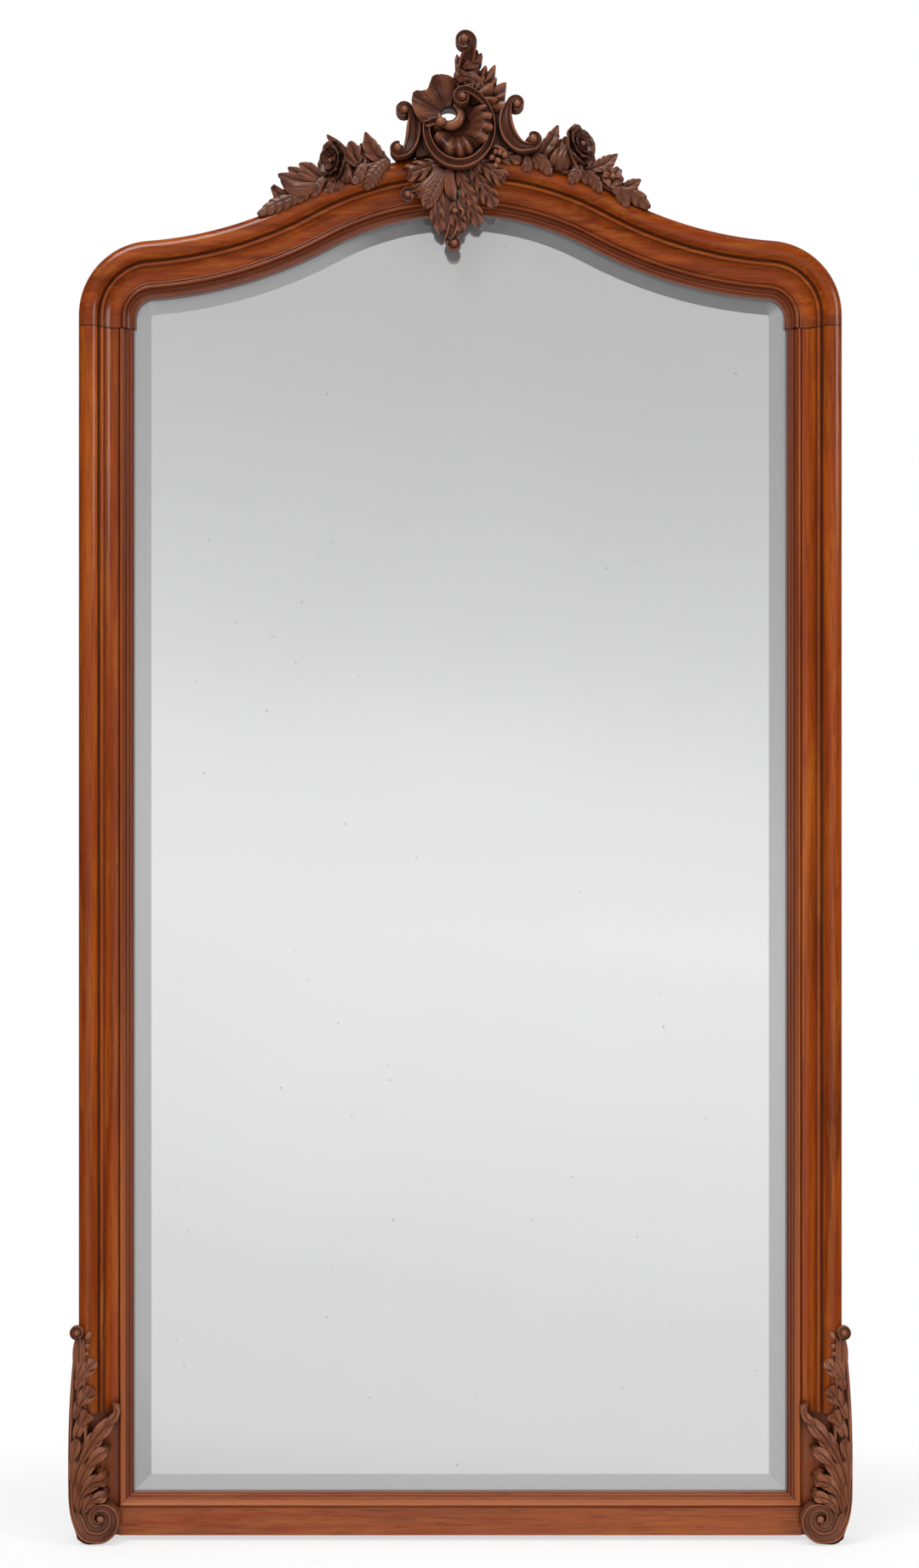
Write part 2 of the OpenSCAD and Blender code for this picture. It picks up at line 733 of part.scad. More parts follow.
module crest_finial() {
    foot = finial_foot + fit;
    color(carved) difference() {
        union() {
            slab(finial_t, finial_front_t - 4) translate(crest_c)
                polygon([[-7, foot], [18, foot], [13, 98], [14, 114], [-6, 114], [-4, 98]]);
            volute(crest_c + finial_c, finial_r, finial_t - 2, finial_front_t + 4);
            leaves([[crest_c + [8, 95], crest_c + [30, 105], 4.5, -2],
                [crest_c + [1, 92], crest_c + [-6, 105], 3, 1]], finial_t + 6, finial_front_t - 2);
        }
        finial_dowel_space();
    }
}

module finial_dowel() { color(pine) finial_dowel_space(0); }

module crest_cleat() {
    color(pine) difference() {
        slab(0, cleat_d) translate([-cleat_half_w, cleat_low_z])
            square([2 * cleat_half_w, cleat_top_z - cleat_low_z]);
        both_sides() for (p = [cleat_arch_place, cleat_crest_place, leafage_place])
            screw_hole(p, 0, cleat_screw_len);
    }
}

module crest_screws() {
    color(iron) both_sides() for (p = [cleat_arch_place, cleat_crest_place]) screw_at(p, 0, cleat_screw_len);
}

module leafage_screws() { color(iron) both_sides() screw_at(leafage_place, 0, leafage_screw_len); }

// Leaves of the spray that hangs from the crest
leafage_rows = [for (row = [
    [[-14, -60], [-80, -70], 11, 4],
    [[-12, -68], [-70, -93], 9, 6],
    [[-8, -70], [-46, -105], 9, -4],
    [[14, -60], [66, -72], 10, -4],
    [[12, -66], [50, -87], 8, -3],
    [[6, -72], [36, -106], 9, 4],
    [[-2, -98], [22, -137], 8, -4],
    [[-8, -98], [-31, -139], 8, 4],
    [[-2, -56], [-8, -104], 13, 0]])
    [crest_c + row[0], crest_c + row[1], row[2], row[3]]];

module crest_leafage() {
    color(carved) difference() {
        union() {
            leaves(leafage_rows, over_t, leafage_front_t);
            slab(over_t, leafage_front_t + 1) translate(crest_c) polygon([[-28, -50], [28, -50], [20, -75],
                [10, -100], [2, -125], [0, -155], [-14, -155], [-16, -125], [-20, -100], [-27, -75]]);
            slab(pendant_t, over_t + cut) translate(crest_c)
                polygon([[-17, -108], [4, -108], [1, -125], [0, -155], [-14, -155], [-16, -125]]);
            // Core behind the leaves, over the bead of the head
            slab(valley_t + bead_r + 0.3, over_t + cut)
                translate([-30, apex_z - hollow_end_u]) square([60, hollow_end_u - roll_w - 4.5]);
            volute(crest_c + [-76, -91], 9.8, over_t, leafage_front_t + 5);
            volute(crest_c + pendant_c, pendant_r, pendant_t, leafage_front_t + 6);
            ball(crest_c + [-9, -116], 3.7, leafage_front_t + 2);
        }
        slab(over_t - cut, overall_d) translate(crest_c) circle(leafage_fit_r, $fn = 90);
        slab(0, over_t) intersection() {
            head_area(-fit, joint_z);
            translate([-half_w, apex_z - roll_w - 4]) square([frame_w, roll_w + 10]);
        }
        both_sides() pin_at(leafage_place, screw_r, over_t - 20, leafage_screw_len);
    }
}

// Front leaves that lap over the roll, one for each pin
lap_rows = [for (a = pin_angles) [crown_c + (crown_r + 8) * from_vertical(a + 1.5),
    crown_c + (crown_r - 23) * from_vertical(a - 0.5), 8, 3]];
// Leaves on the stem: each starts over a place on the head and goes across and up from there
function stem_leaves(rows) = [for (row = rows) let (base = on_head(row[0], row[1]))
    [base, base + [row[2], row[3]], row[4], row[5]]];
right_rows = stem_leaves([
    [126, 8, 15, 51, 10, -3],
    [186, 9, 41, 29, 9, 3],
    [228, 7, 33, 14, 8, 4],
    [166, 4, 4, 36, 12, 1],
    [140, 6, 7, 32, 8, -2]]);
left_rows = stem_leaves([
    [124, 6, 14, 42, 10, -2.5],
    [148, 5, 12, 37, 9, 2],
    [164, 8, 28, 44, 9, 3],
    [200, 8, 34, 22, 8, 3],
    [216, 7, 44, 15, 9, 3],
    [240, 3, 34, 16, 7, 3]]);

// A garland for the right side: stem along the head, leaves, small flower and the seat of its rose
module garland(rows, rose_c, bud_c, x_end) {
    x_start = 124;
    end_angle = asin((sweep_c[0] - x_end) / sweep_r);
    tip_place = sweep_c - (sweep_r - 3) * from_vertical(end_angle);
    difference() {
        union() {
            round_arc(crown_c, crown_r, 88 - crown_slope, 90 - asin(x_start / crown_r), true)
                translate([-stem_r - fit, stem_t]) circle(stem_r, $fn = 32);
            round_arc(sweep_c, sweep_r, 271 - crown_slope, 270 - end_angle, false)
                translate([-stem_r - fit, stem_t]) circle(stem_r * 0.8, $fn = 32);
            leaves(rows, 46, 54);
            leaves(lap_rows, stem_t - 2, over_t + 3.5);
            leaves([[tip_place + [-14, 12], tip_place + [4, -9], 6, 2]], stem_t - 2, over_t + 3.5);
            pin_at(rose_c, rose_seat_r, 46, rose_t);
            volute(bud_c, 9, 46, over_t + 10);
        }
        head_space();
        pin_at(rose_c, dowel_r, rose_t - 10, rose_t + cut);
        for (p = pin_places) pin_at(p, pin_r, over_t - cut, over_t + 3);
    }
}

module garland_right() { color(carved) garland(right_rows, rose_right_c, on_head(222, 21), 270); }

module garland_left() {
    color(carved) mirror([1, 0, 0]) garland(left_rows, rose_left_c, on_head(236, 16), 286);
}

module garland_pins() {
    color(iron) both_sides() for (p = pin_places) pin_at(p, pin_r, over_t - pin_len, over_t + 3);
}

// Three rings of petals, each a cup that stands inside the last
module rose(place, r) {
    wall = 2.5;
    difference() {
        from_wall(rose_t + fit) translate([place[0], place[1], 0]) {
            cylinder(r = r * 0.5, h = 8);
            for (k = [0:2]) {
                h = rose_h * (0.62 + 0.19 * k);
                difference() {
                    cylinder(r1 = r * (0.5 - 0.12 * k), r2 = r * (1 - 0.27 * k), h = h);
                    translate([0, 0, h * 0.35]) cylinder(h = h, r1 = r * (0.65 - 0.16 * k) - wall,
                        r2 = r * (1.65 - 0.45 * k) - wall);
                }
            }
        }
        pin_at(place, dowel_r, rose_t - cut, rose_t + 7);
    }
}

module rose_right() { color(carved) rose(rose_right_c, rose_right_r); }

module rose_left() { color(carved) mirror([1, 0, 0]) rose(rose_left_c, rose_left_r); }

module rose_dowels() {
    color(pine) {
        pin_at(rose_right_c, dowel_r - 0.05, rose_t - 9.8, rose_t + 6.8);
        mirror([1, 0, 0]) pin_at(rose_left_c, dowel_r - 0.05, rose_t - 9.8, rose_t + 6.8);
    }
}

// Outline of the foot, measured from the stile's outer edge
foot_wide_z = 90;
foot_toe = 12;
function foot_edge(z) = z > foot_wide_z
    ? foot_swell * (1 - pow((z - foot_wide_z) / (foot_top_z - foot_wide_z), 2))
    : -foot_toe + (foot_swell + foot_toe) * sqrt(1 - pow((foot_wide_z - z) / foot_wide_z, 2));
function foot_line(z0, z1, n) = [for (i = [0:n]) let (z = z0 + (z1 - z0) * i / n) [foot_edge(z), z]];
foot_rows = [
    [[-8, 92], [-54, 188], 15, -4],
    [[-16, 70], [-42, 139], 10, -4],
    [[-18, 52], [-46, 100], 9, -4],
    [[-20, 42], [-42, 75], 8, -3]];
upper_rows = [
    [[2, 255], [-15, 286], 7, 3],
    [[4, 228], [-27, 267], 9, 4],
    [[4, 192], [-30, 233], 10, 4],
    [[4, 160], [-24, 197], 10, 4]];

module foot_slab(t0, t1) { slab(t0, t1) translate([half_w, 0]) children(); }

module carved_foot_right() {
    block_t = foot_ground_t + fit;
    block_top = foot_seat_z - fit;
    cheek_top = foot_top_z - 12;
    color(carved) difference() {
        union() {
            // Toe below the stile, cheek beside it, and block on its plain ground
            foot_slab(0, foot_front_t - 3)
                polygon(concat([[-30, 0]], foot_line(0, rail_z - fit, 3), [[-30, rail_z - fit]]));
            foot_slab(0, frame_d + 2)
                polygon(concat([[fit, 14]], foot_line(14, cheek_top, 24), [[fit, cheek_top]]));
            foot_slab(block_t, frame_d + 2) polygon(concat([[-30, rail_z - 2 * fit]],
                foot_line(rail_z - 2 * fit, block_top, 16), [[-20, block_top], [-16, 120], [-16, 70]]));
            foot_slab(over_t, frame_d + 3) polygon(concat([[-8, 150]], foot_line(150, cheek_top, 10),
                [[-6, cheek_top]]));
            translate([half_w, 0, 0]) {
                intersection() {
                    leaves(foot_rows, block_t, foot_front_t - 4);
                    slab(0, overall_d) translate([-half_w, 0]) square([frame_w, block_top]);
                }
                leaves(upper_rows, over_t, frame_d + 4);
                volute([0.3, foot_top_z + 7.6], 10, over_t, foot_front_t + 5);
                leaves([[[3, 262], [-2, 312], 6, 0]], over_t, frame_d + 4);
                volute(foot_scroll_c, foot_scroll_r, block_t, foot_front_t + 4);
                ball([-11.5, foot_top_z + 4], 3.6, over_t + 4);
            }
        }
        // Keeps clear of the rail and of the planted moulding
        foot_slab(0, plant_top_t + 0.3) translate([-100 - plant_u + fit, 0]) square([100, block_top + cut]);
        for (p = foot_dowels_at)
            pin_at([half_w - p[0], p[1]], foot_dowel_r, foot_ground_t, foot_ground_t + 16);
    }
}

module carved_foot_left() { mirror([1, 0, 0]) carved_foot_right(); }

module foot_dowels() {
    color(pine) both_sides() for (p = foot_dowels_at)
        pin_at([half_w - p[0], p[1]], foot_dowel_r - 0.05, foot_ground_t - 13.8, foot_ground_t + 15.8);
}

stile_left();
stile_right();
arch_left();
arch_right();
bottom_rail();
sight_moulding_left();
sight_moulding_right();
sight_moulding_bottom();
head_tenons();
crown_tenon();
rail_pegs();
mirror_plate();
glazing_blocks();
for (i = [0:board_count - 1]) backboard(i);
backboard_screws();
hanger_plate_left();
hanger_plate_right();
hanger_screws();
crest_cartouche();
crest_leafage();
crest_finial();
finial_dowel();
crest_cleat();
crest_screws();
leafage_screws();
garland_left();
garland_right();
garland_pins();
rose_left();
rose_right();
rose_dowels();
carved_foot_left();
carved_foot_right();
foot_dowels();
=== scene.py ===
import math

import bpy
import numpy as np
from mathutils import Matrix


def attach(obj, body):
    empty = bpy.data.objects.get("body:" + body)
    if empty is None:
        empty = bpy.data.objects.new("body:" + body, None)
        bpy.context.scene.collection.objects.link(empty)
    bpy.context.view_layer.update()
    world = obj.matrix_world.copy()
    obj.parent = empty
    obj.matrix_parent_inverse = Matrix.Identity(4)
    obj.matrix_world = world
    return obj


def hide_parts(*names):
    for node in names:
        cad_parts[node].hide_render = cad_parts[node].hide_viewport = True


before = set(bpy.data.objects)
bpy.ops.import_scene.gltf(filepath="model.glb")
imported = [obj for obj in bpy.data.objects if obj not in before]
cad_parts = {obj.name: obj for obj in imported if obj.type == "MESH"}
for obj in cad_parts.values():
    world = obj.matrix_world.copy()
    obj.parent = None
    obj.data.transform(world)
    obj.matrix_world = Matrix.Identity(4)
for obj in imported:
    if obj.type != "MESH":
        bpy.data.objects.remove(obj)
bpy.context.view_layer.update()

# Camera: level with the middle of the glass and a little left of it, as the photograph was taken,
# with the view shifted up so that the crest is inside it
camera_place = (-0.03, -3.307, 0.95)
face_distance = 3.3
view_height = 2.2754
view_middle = (-0.0012, 1.1044)
sensor = 36.0
camera_data = bpy.data.cameras.new("camera")
camera_data.sensor_fit = "VERTICAL"
camera_data.sensor_height = sensor
camera_data.lens = sensor * face_distance / view_height
camera_data.shift_x = (view_middle[0] - camera_place[0]) / view_height
camera_data.shift_y = (view_middle[1] - camera_place[2]) / view_height
camera = bpy.data.objects.new("camera", camera_data)
camera.location = camera_place
camera.rotation_euler = (math.pi / 2, 0.0, 0.0)
scene = bpy.context.scene
scene.collection.objects.link(camera)
scene.camera = camera
scene.view_settings.view_transform = "Standard"


# Studio: a pale floor, a white surround and soft lamps above the view. The glass shows the room
# behind the camera, brightest level with the eye and greyer upwards and to the sides
class Link:
    """An output in a node tree. + - * / and ** on it add Math nodes."""

    def __init__(self, tree, socket):
        self.tree, self.socket = tree, socket

    def maths(self, operation, *values):
        return self.tree.node("ShaderNodeMath", values, operation=operation)

    def __add__(self, other):
        return self.maths("ADD", self, other)

    def __sub__(self, other):
        return self.maths("SUBTRACT", self, other)

    def __mul__(self, other):
        return self.maths("MULTIPLY", self, other)

    def __truediv__(self, other):
        return self.maths("DIVIDE", self, other)

    def __pow__(self, other):
        return self.maths("POWER", self, other)

    def __rsub__(self, other):
        return self.maths("SUBTRACT", other, self)

    def __rtruediv__(self, other):
        return self.maths("DIVIDE", other, self)

    __radd__ = __add__
    __rmul__ = __mul__

    def __abs__(self):
        return self.maths("ABSOLUTE", self)

    def between(self, low, high):
        """0 below low, 1 above high, a smooth rise between them."""
        return self.tree.node("ShaderNodeMapRange", {"Value": self, "From Min": low, "From Max": high},
                              interpolation_type="SMOOTHSTEP")

    def near(self, middle, inner, outer):
        """1 within inner of middle, 0 beyond outer of it."""
        return 1.0 - abs(self - middle).between(inner, outer)

    def part(self, axis):
        """X, Y or Z of a vector."""
        return self.tree.node("ShaderNodeSeparateXYZ", [self], out=axis)


class Tree:
    """The nodes of one material or world."""

    def __init__(self, owner):
        owner.use_nodes = True
        self.owner, self.nodes, self.links = owner, owner.node_tree.nodes, owner.node_tree.links

    def node(self, kind, sockets=(), out=0, **settings):
        """Adds a node of that kind, its settings first, then the values or links of its sockets."""
        made = self.nodes.new(kind)
        for name, value in settings.items():
            if name == "stops":
                made.color_ramp.elements.remove(made.color_ramp.elements[1])
                made.color_ramp.elements[0].position = value[0][0]
                made.color_ramp.elements[0].color = value[0][1]
                for place, colour in value[1:]:
                    made.color_ramp.elements.new(place).color = colour
            else:
                setattr(made, name, value)
        named = sockets.items() if isinstance(sockets, dict) else enumerate(sockets)
        for name, value in named:
            self.feed(made.inputs[name], value)
        return Link(self, made.outputs[out]) if made.outputs else made

    def feed(self, entry, value):
        if isinstance(value, Link):
            self.links.new(value.socket, entry)
        else:
            entry.default_value = value

    def mix(self, share, first, second):
        return self.node("ShaderNodeMix", {0: share, 6: first, 7: second}, out=2, data_type="RGBA")

    def over(self, tone, *layers):
        """Lays colours, red, green and blue as seen on a screen, over a tone, each by its share."""
        for share, colour in layers:
            tone = self.mix(share, tone, rgb(*colour))
        return tone

    def place(self):
        return self.node("ShaderNodeTexCoord", out="Object")

    def noise(self, place, scale, detail, roughness=0.5, distortion=0.0):
        return self.node("ShaderNodeTexNoise", {
            "Vector": place, "Scale": scale, "Detail": detail, "Roughness": roughness,
            "Distortion": distortion})

    def finish(self, sockets):
        """Sets or links sockets of the material's own shader, and returns the material."""
        for name, value in sockets.items():
            self.feed(self.nodes["Principled BSDF"].inputs[name], value)
        return self.owner


def rgb(red, green, blue):
    """A colour as seen on a screen, from 0 to 255, in the linear numbers that shaders take."""
    parts = np.array([red, green, blue]) / 255
    linear = np.where(parts <= 0.04045, parts / 12.92, ((parts + 0.055) / 1.055) ** 2.4)
    return (*linear.tolist(), 1.0)


def grey(level):
    return rgb(level, level, level)


white = grey(255)
fill_light = (0.62, 0.62, 0.63, 1.0)
world = bpy.data.worlds.new("studio")
scene.world = world
sky = Tree(world)
sky.nodes.clear()
heading = sky.node("ShaderNodeTexCoord", out="Generated")
sky_x, sky_y, sky_z = (heading.part(axis) for axis in "XYZ")
# Height in the room from 0 to 1, with a slight tilt and waviness, as in the photograph
ripple = sky.noise(heading, 5.0, 2.0)
level = (sky_z + 0.12 * sky_x + 0.05 * (ripple - 0.5)) / 0.84 + 0.5
room = sky.node("ShaderNodeValToRGB", [level], stops=[
    (0.00, grey(176)), (0.16, grey(190)), (0.22, grey(221)), (0.30, grey(224)), (0.39, grey(236)),
    (0.48, grey(244)), (0.56, grey(236)), (0.65, grey(212)), (0.77, grey(188)), (0.85, grey(182)),
    (0.88, grey(198)), (0.93, grey(178)), (1.0, grey(64))])
room = sky.mix(abs(sky_x).between(0.155, 0.215) * 0.6, room, grey(112))
# Outside what the glass can show, the studio is dark in front of the object and grey behind it
off_glass = (sky_x * sky_x / 0.24 + sky_z * sky_z / 0.42).between(1.0, 1.9)
room = sky.mix(off_glass, room, grey(40))
room = sky.mix(sky_y.between(-0.1, 0.45) * 0.9, room, grey(140))
ray_camera = sky.node("ShaderNodeLightPath", out="Is Camera Ray")
ray_glossy = sky.node("ShaderNodeLightPath", out="Is Glossy Ray")
seen = sky.mix(ray_glossy, fill_light, room)
seen = sky.mix(ray_camera, seen, white)
glow = sky.node("ShaderNodeBackground", {"Color": seen, "Strength": 1.0})
sky.node("ShaderNodeOutputWorld", [glow])

floor_mesh = bpy.data.meshes.new("floor")
floor_mesh.from_pydata([(-6, -1.4, 0), (6, -1.4, 0), (6, 5, 0), (-6, 5, 0)], [], [(0, 1, 2, 3)])
floor = bpy.data.objects.new("floor", floor_mesh)
scene.collection.objects.link(floor)
paper = bpy.data.materials.new("pale_floor")
tree = Tree(paper)
tree.nodes.clear()
speck = tree.node("ShaderNodeTexNoise", {"Scale": 3.0})
matt = tree.node("ShaderNodeBsdfDiffuse", {"Color": tree.mix(speck, grey(236), grey(240))})
bright = tree.node("ShaderNodeEmission", {"Color": white})
ray_camera = tree.node("ShaderNodeLightPath", out="Is Camera Ray")
floor_place = tree.place()
floor_x, floor_y = (floor_place.part(axis) for axis in "XY")
# The paper is whiter away from the object, so that it meets the surround without a line
far = (floor_x * floor_x * 0.7 + floor_y * floor_y * 3.0).between(0.05, 1.6)
shown = tree.node("ShaderNodeMixShader", [ray_camera * (0.62 + 0.38 * far), matt, bright])
tree.node("ShaderNodeOutputMaterial", [shown])
floor_mesh.materials.append(paper)
floor.visible_glossy = False

for name, place, aim, size, watts, mirrored in (
        ("lamp_front", (-1.5, -2.1, 4.7), (0, 0, 1.2), 1.6, 92.0, True),
        ("lamp_right", (2.9, -1.9, 2.6), (0, 0, 1.1), 1.2, 34.0, True),
        ("lamp_top", (0.3, -0.5, 4.2), (0, 0, 1.6), 1.0, 14.0, True),
        ("lamp_low", (0.3, -2.4, 0.8), (0, 0, 0.1), 1.6, 27.0, False)):
    lamp_data = bpy.data.lights.new(name, "AREA")
    lamp_data.size = size
    lamp_data.energy = watts
    lamp = bpy.data.objects.new(name, lamp_data)
    lamp.location = place
    lamp.visible_glossy = mirrored
    away = np.array(place, float) - np.array(aim, float)
    lamp.rotation_euler = (math.acos(away[2] / np.linalg.norm(away)), 0.0,
                           math.atan2(away[1], away[0]) + math.pi / 2)
    scene.collection.objects.link(lamp)

# Stiles, head and rail: walnut, moulded in the solid and French polished. The head's outline is three
# arcs on each side, and it butts on the stiles. The grain runs along each member, and the quirks and
# hollows are painted dark: painted shade, with some old wax. The bead and the reeds carry painted
# highlights
half_width = 0.555
joint_height = 1.771
base_height = -0.007
# Arcs as middle across, middle up and radius, and how steeply the lines between them go outwards
crown_arc = (0.0, 1.54079, 0.4776)
sweep_arc = (0.49666, 2.46318, 0.57)
corner_arc = (0.447, 1.787, 0.108)
crown_slope, corner_slope = 0.5385, 0.07344
# Distances inside the outline: the bead between roll and hollow, the quirks, each with half its width
# at the bottom and at the top, and the reeds of the sight edge
bead_at = 0.0323
quirks = ((0.0282, 0.0003, 0.0022), (0.0370, 0.0002, 0.0014), (0.0556, 0.0002, 0.0016))
reeds_from, reed_pitch, broad_reed_at = 0.0575, 0.0046, 0.0634


def inside_edge(place):
    """How far a point is inside the outline of stiles and head, in metres: from the stile's side, or
    along a radius of the crown's, the sweep's or the corner's arc, each taken between the lines through
    its centre and its neighbour's."""
    x, z = abs(place.part("X")), place.part("Z")
    crown, sweep, corner = (
        ((x - cx) * (x - cx) + (z - cz) * (z - cz)) ** 0.5
        for cx, cz, _ in (crown_arc, sweep_arc, corner_arc))
    on_crown = x.maths("LESS_THAN", x, crown_slope * (z - crown_arc[1]))
    on_corner = x.maths("GREATER_THAN", x, corner_arc[0] + corner_slope * (z - corner_arc[1]))
    on_head = z.maths("GREATER_THAN", z, corner_arc[1])
    head = (sweep - sweep_arc[2]) + on_crown * (crown_arc[2] + sweep_arc[2] - crown - sweep)
    head = head + on_corner * (corner_arc[2] - corner - head)
    return (half_width - x) + on_head * (head - (half_width - x))


def above_rail(place):
    """The same along the rail, where the section lies from the bottom edge upwards."""
    return place.part("Z") - base_height


def walnut(name, grain, tilt=0.0, reach=inside_edge, pale=0.0):
    """Polished walnut. grain is how tight the figure is along x, y and z; tilt turns it in the face,
    and pale fades it, partly as a painted sheen from the floor. Ambient occlusion paints shade in every
    recess. Where reach gives the distance from the edge, the quirks and the grooves between the reeds
    are painted dark as shade and old waxing, the bead and the reeds' crests get painted highlights,
    the broad reed gets painted light from the floor, and reeds run along the sight edge."""
    tree = Tree(bpy.data.materials.new(name))
    place = tree.place()
    along = tree.node("ShaderNodeMapping", {
        "Vector": place, "Rotation": (0.0, tilt, 0.0), "Scale": grain})
    drift = tree.noise(place, 2.6, 3.0)
    figure = tree.noise(along, 1.0, 7.0, 0.62, 0.9)
    streak = tree.noise(along, 2.7, 4.0, 0.6, 0.4)
    fibre = tree.noise(along, 9.0, 4.0, 0.7)
    tone = tree.node("ShaderNodeValToRGB", [figure * 0.72 + drift * 0.28], stops=[
        (0.30, rgb(80, 27, 1)), (0.43, rgb(109, 43, 2)), (0.52, rgb(130, 55, 4)),
        (0.62, rgb(145, 67, 7)), (0.74, rgb(160, 83, 15))])
    # Paler by pale, partly as a painted sheen from the floor, then redder and yellower streaks, then
    # the pores
    tone = tree.over(
        tone, (pale, (140, 80, 52)), (streak.between(0.50, 0.64) * 0.5, (122, 40, 6)),
        ((1.0 - streak).between(0.52, 0.66) * 0.4, (150, 84, 22)),
        ((1.0 - fibre).between(0.50, 0.70) * 0.6, (74, 26, 6)))
    # Painted shade: ambient occlusion darkens recesses and where parts meet, with some old wax
    shade = tree.node("ShaderNodeAmbientOcclusion", {"Distance": 0.012}, out="AO", samples=8)
    dark = (1.0 - shade).between(0.18, 0.85) * 0.64
    bump = tree.node("ShaderNodeBump", {"Strength": 0.25, "Distance": 0.0004, "Height": fibre})
    if reach:
        u, z = reach(place), place.part("Z")
        # Four reeds, by a sine across each
        turn = (u - reeds_from) * (math.pi / reed_pitch)
        reed = abs(turn.maths("SINE", turn))
        groove = (1.0 - reed) ** 2.0 * u.between(0.0565, 0.0580)
        broad = u.near(broad_reed_at, 0.0018, 0.0046)
        past_joint = z.between(joint_height - 0.001, joint_height + 0.001)
        tone = tree.over(
            tone,
            # Browner round the feet, where the mouldings stop
            ((1.0 - z.between(0.17, 0.21)) * (1.0 - u.between(0.052, 0.056)) * 0.6, (112, 62, 38)),
            # The inner reeds are darker, and the broad one has painted light from the floor, stronger
            # lower down
            (u.between(0.0585, 0.0665) * (0.72 - pale), (66, 24, 10)),
            # Painted highlight along each reed's crest
            (reed ** 3.0 * u.between(0.0570, 0.0590) * 0.22, (160, 90, 56)),
            (broad * (1.0 - z.between(0.05, 1.30)) * 0.55, (178, 106, 66)),
            # Painted shade in the grooves between the reeds
            (groove * (0.6 - 0.3 * broad), (48, 16, 5)),
            # The bead is painted lighter, as a highlight with some wear, and the head is darker just
            # above the joint
            (u.near(bead_at, 0.0006, 0.0026) * 0.12, (166, 92, 44)),
            (past_joint * (1.0 - z.between(1.775, 1.800)) * 0.35, (84, 40, 20)))
        # Painted shade, with some wax, in the quirks, and dirt in the joint between stile and head
        for line in (*(u.near(*quirk) * 0.34 for quirk in quirks),
                     z.near(joint_height, 0.0005, 0.0018) * 0.85):
            dark = 1.0 - (1.0 - dark) * (1.0 - line)
        bump = tree.node("ShaderNodeBump", {"Strength": 0.5, "Distance": 0.0008, "Height": 1.0 - groove,
                                            "Normal": bump})
    return tree.finish({
        "Base Color": tree.over(tone, (dark, (42, 16, 6))), "Normal": bump,
        "Roughness": 0.2 + 0.10 * drift + 0.2 * dark,
        "Specular IOR Level": 0.26, "Coat Weight": 0.12, "Coat Roughness": 0.1})


def dress(finish, *names):
    """Puts a finish in the slots of CAD nodes."""
    for name in names:
        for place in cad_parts[name].material_slots:
            place.material = finish


walnut_up = walnut("walnut_up", (46.0, 46.0, 2.2))
# The rail and the bottom moulding are paler, partly as a painted sheen of the floor reflected in them
walnut_rail = walnut("walnut_rail", (2.2, 46.0, 46.0), reach=None, pale=0.5)
walnut_across = walnut("walnut_across", (2.2, 46.0, 46.0), reach=above_rail, pale=0.6)
walnut_head_left = walnut("walnut_head_left", (3.0, 46.0, 40.0), 0.22)
walnut_head_right = walnut("walnut_head_right", (3.0, 46.0, 40.0), -0.22)
dress(walnut_up, "stile_left", "stile_right", "sight_moulding_left", "sight_moulding_right")
dress(walnut_rail, "bottom_rail")
dress(walnut_across, "sight_moulding_bottom")
dress(walnut_head_left, "arch_left")
dress(walnut_head_right, "arch_right")

# Plate: thick silvered glass with a broad bevel, held in the rebate by blocks behind it. The silver
# has dulled unevenly and shows small spots, and a film of dust on it scatters a little light
silver_dull, silver_clear = (0.815, 0.815, 0.82, 1.0), (0.85, 0.85, 0.85, 1.0)


def silver():
    tree = Tree(bpy.data.materials.new("silvered_glass"))
    place = tree.place()
    mist = tree.noise(place, 3.0, 5.0)
    spot = tree.noise(place, 110.0, 2.0).between(0.76, 0.80)
    tone = tree.over(tree.mix(mist, silver_dull, silver_clear), (spot * 0.35, (130, 130, 130)))
    return tree.finish({
        "Base Color": tone, "Metallic": 0.86, "Roughness": 0.012 + 0.02 * mist + 0.2 * spot})


dress(silver(), "mirror_plate")

# Back: pine boards screwed across the frame, blocks glued in the rebate, loose tenons in the joints
# and a cleat behind the crest. All is sawn, left bare and gone grey-brown with dust


def pine(name, grain):
    """Bare pine, its rings drawn out by grain along x, y and z."""
    tree = Tree(bpy.data.materials.new(name))
    place = tree.place()
    rings = tree.noise(tree.node("ShaderNodeMapping", {"Vector": place, "Scale": grain}), 1.0, 5.0,
                       distortion=1.4)
    dust = tree.noise(place, 7.0, 6.0)
    # Painted shade: ambient occlusion darkens the recesses
    shade = tree.node("ShaderNodeAmbientOcclusion", {"Distance": 0.02}, out="AO", samples=8)
    tone = tree.node("ShaderNodeValToRGB", [rings], stops=[
        (0.34, rgb(128, 88, 52)), (0.48, rgb(166, 122, 76)), (0.56, rgb(182, 140, 92)),
        (0.68, rgb(150, 106, 64))])
    return tree.finish({
        "Base Color": tree.over(tone, (dust.between(0.45, 0.8) * 0.5, (112, 92, 72)),
                                ((1.0 - shade) * 0.7, (60, 42, 28))),
        "Roughness": 0.62 + 0.2 * dust,
        "Normal": tree.node("ShaderNodeBump", {"Strength": 0.4, "Distance": 0.0006, "Height": rings})})


board_names = [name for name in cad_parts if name.startswith("backboard_") and name[-1].isdigit()]
dress(pine("pine_boards", (1.6, 30.0, 30.0)), *board_names, "crest_cleat")
dress(pine("pine_blocks", (30.0, 30.0, 3.0)), "glazing_blocks", "head_tenons", "crown_tenon")
# Dowels and pegs are walnut, like what they hold
dress(walnut_rail, "rail_pegs", "finial_dowel", "rose_dowels", "foot_dowels")

# Iron: hanging plates let in flush behind the stiles, and the screws and pins that fix boards and
# carving. It was blued once and is now brown with rust in patches


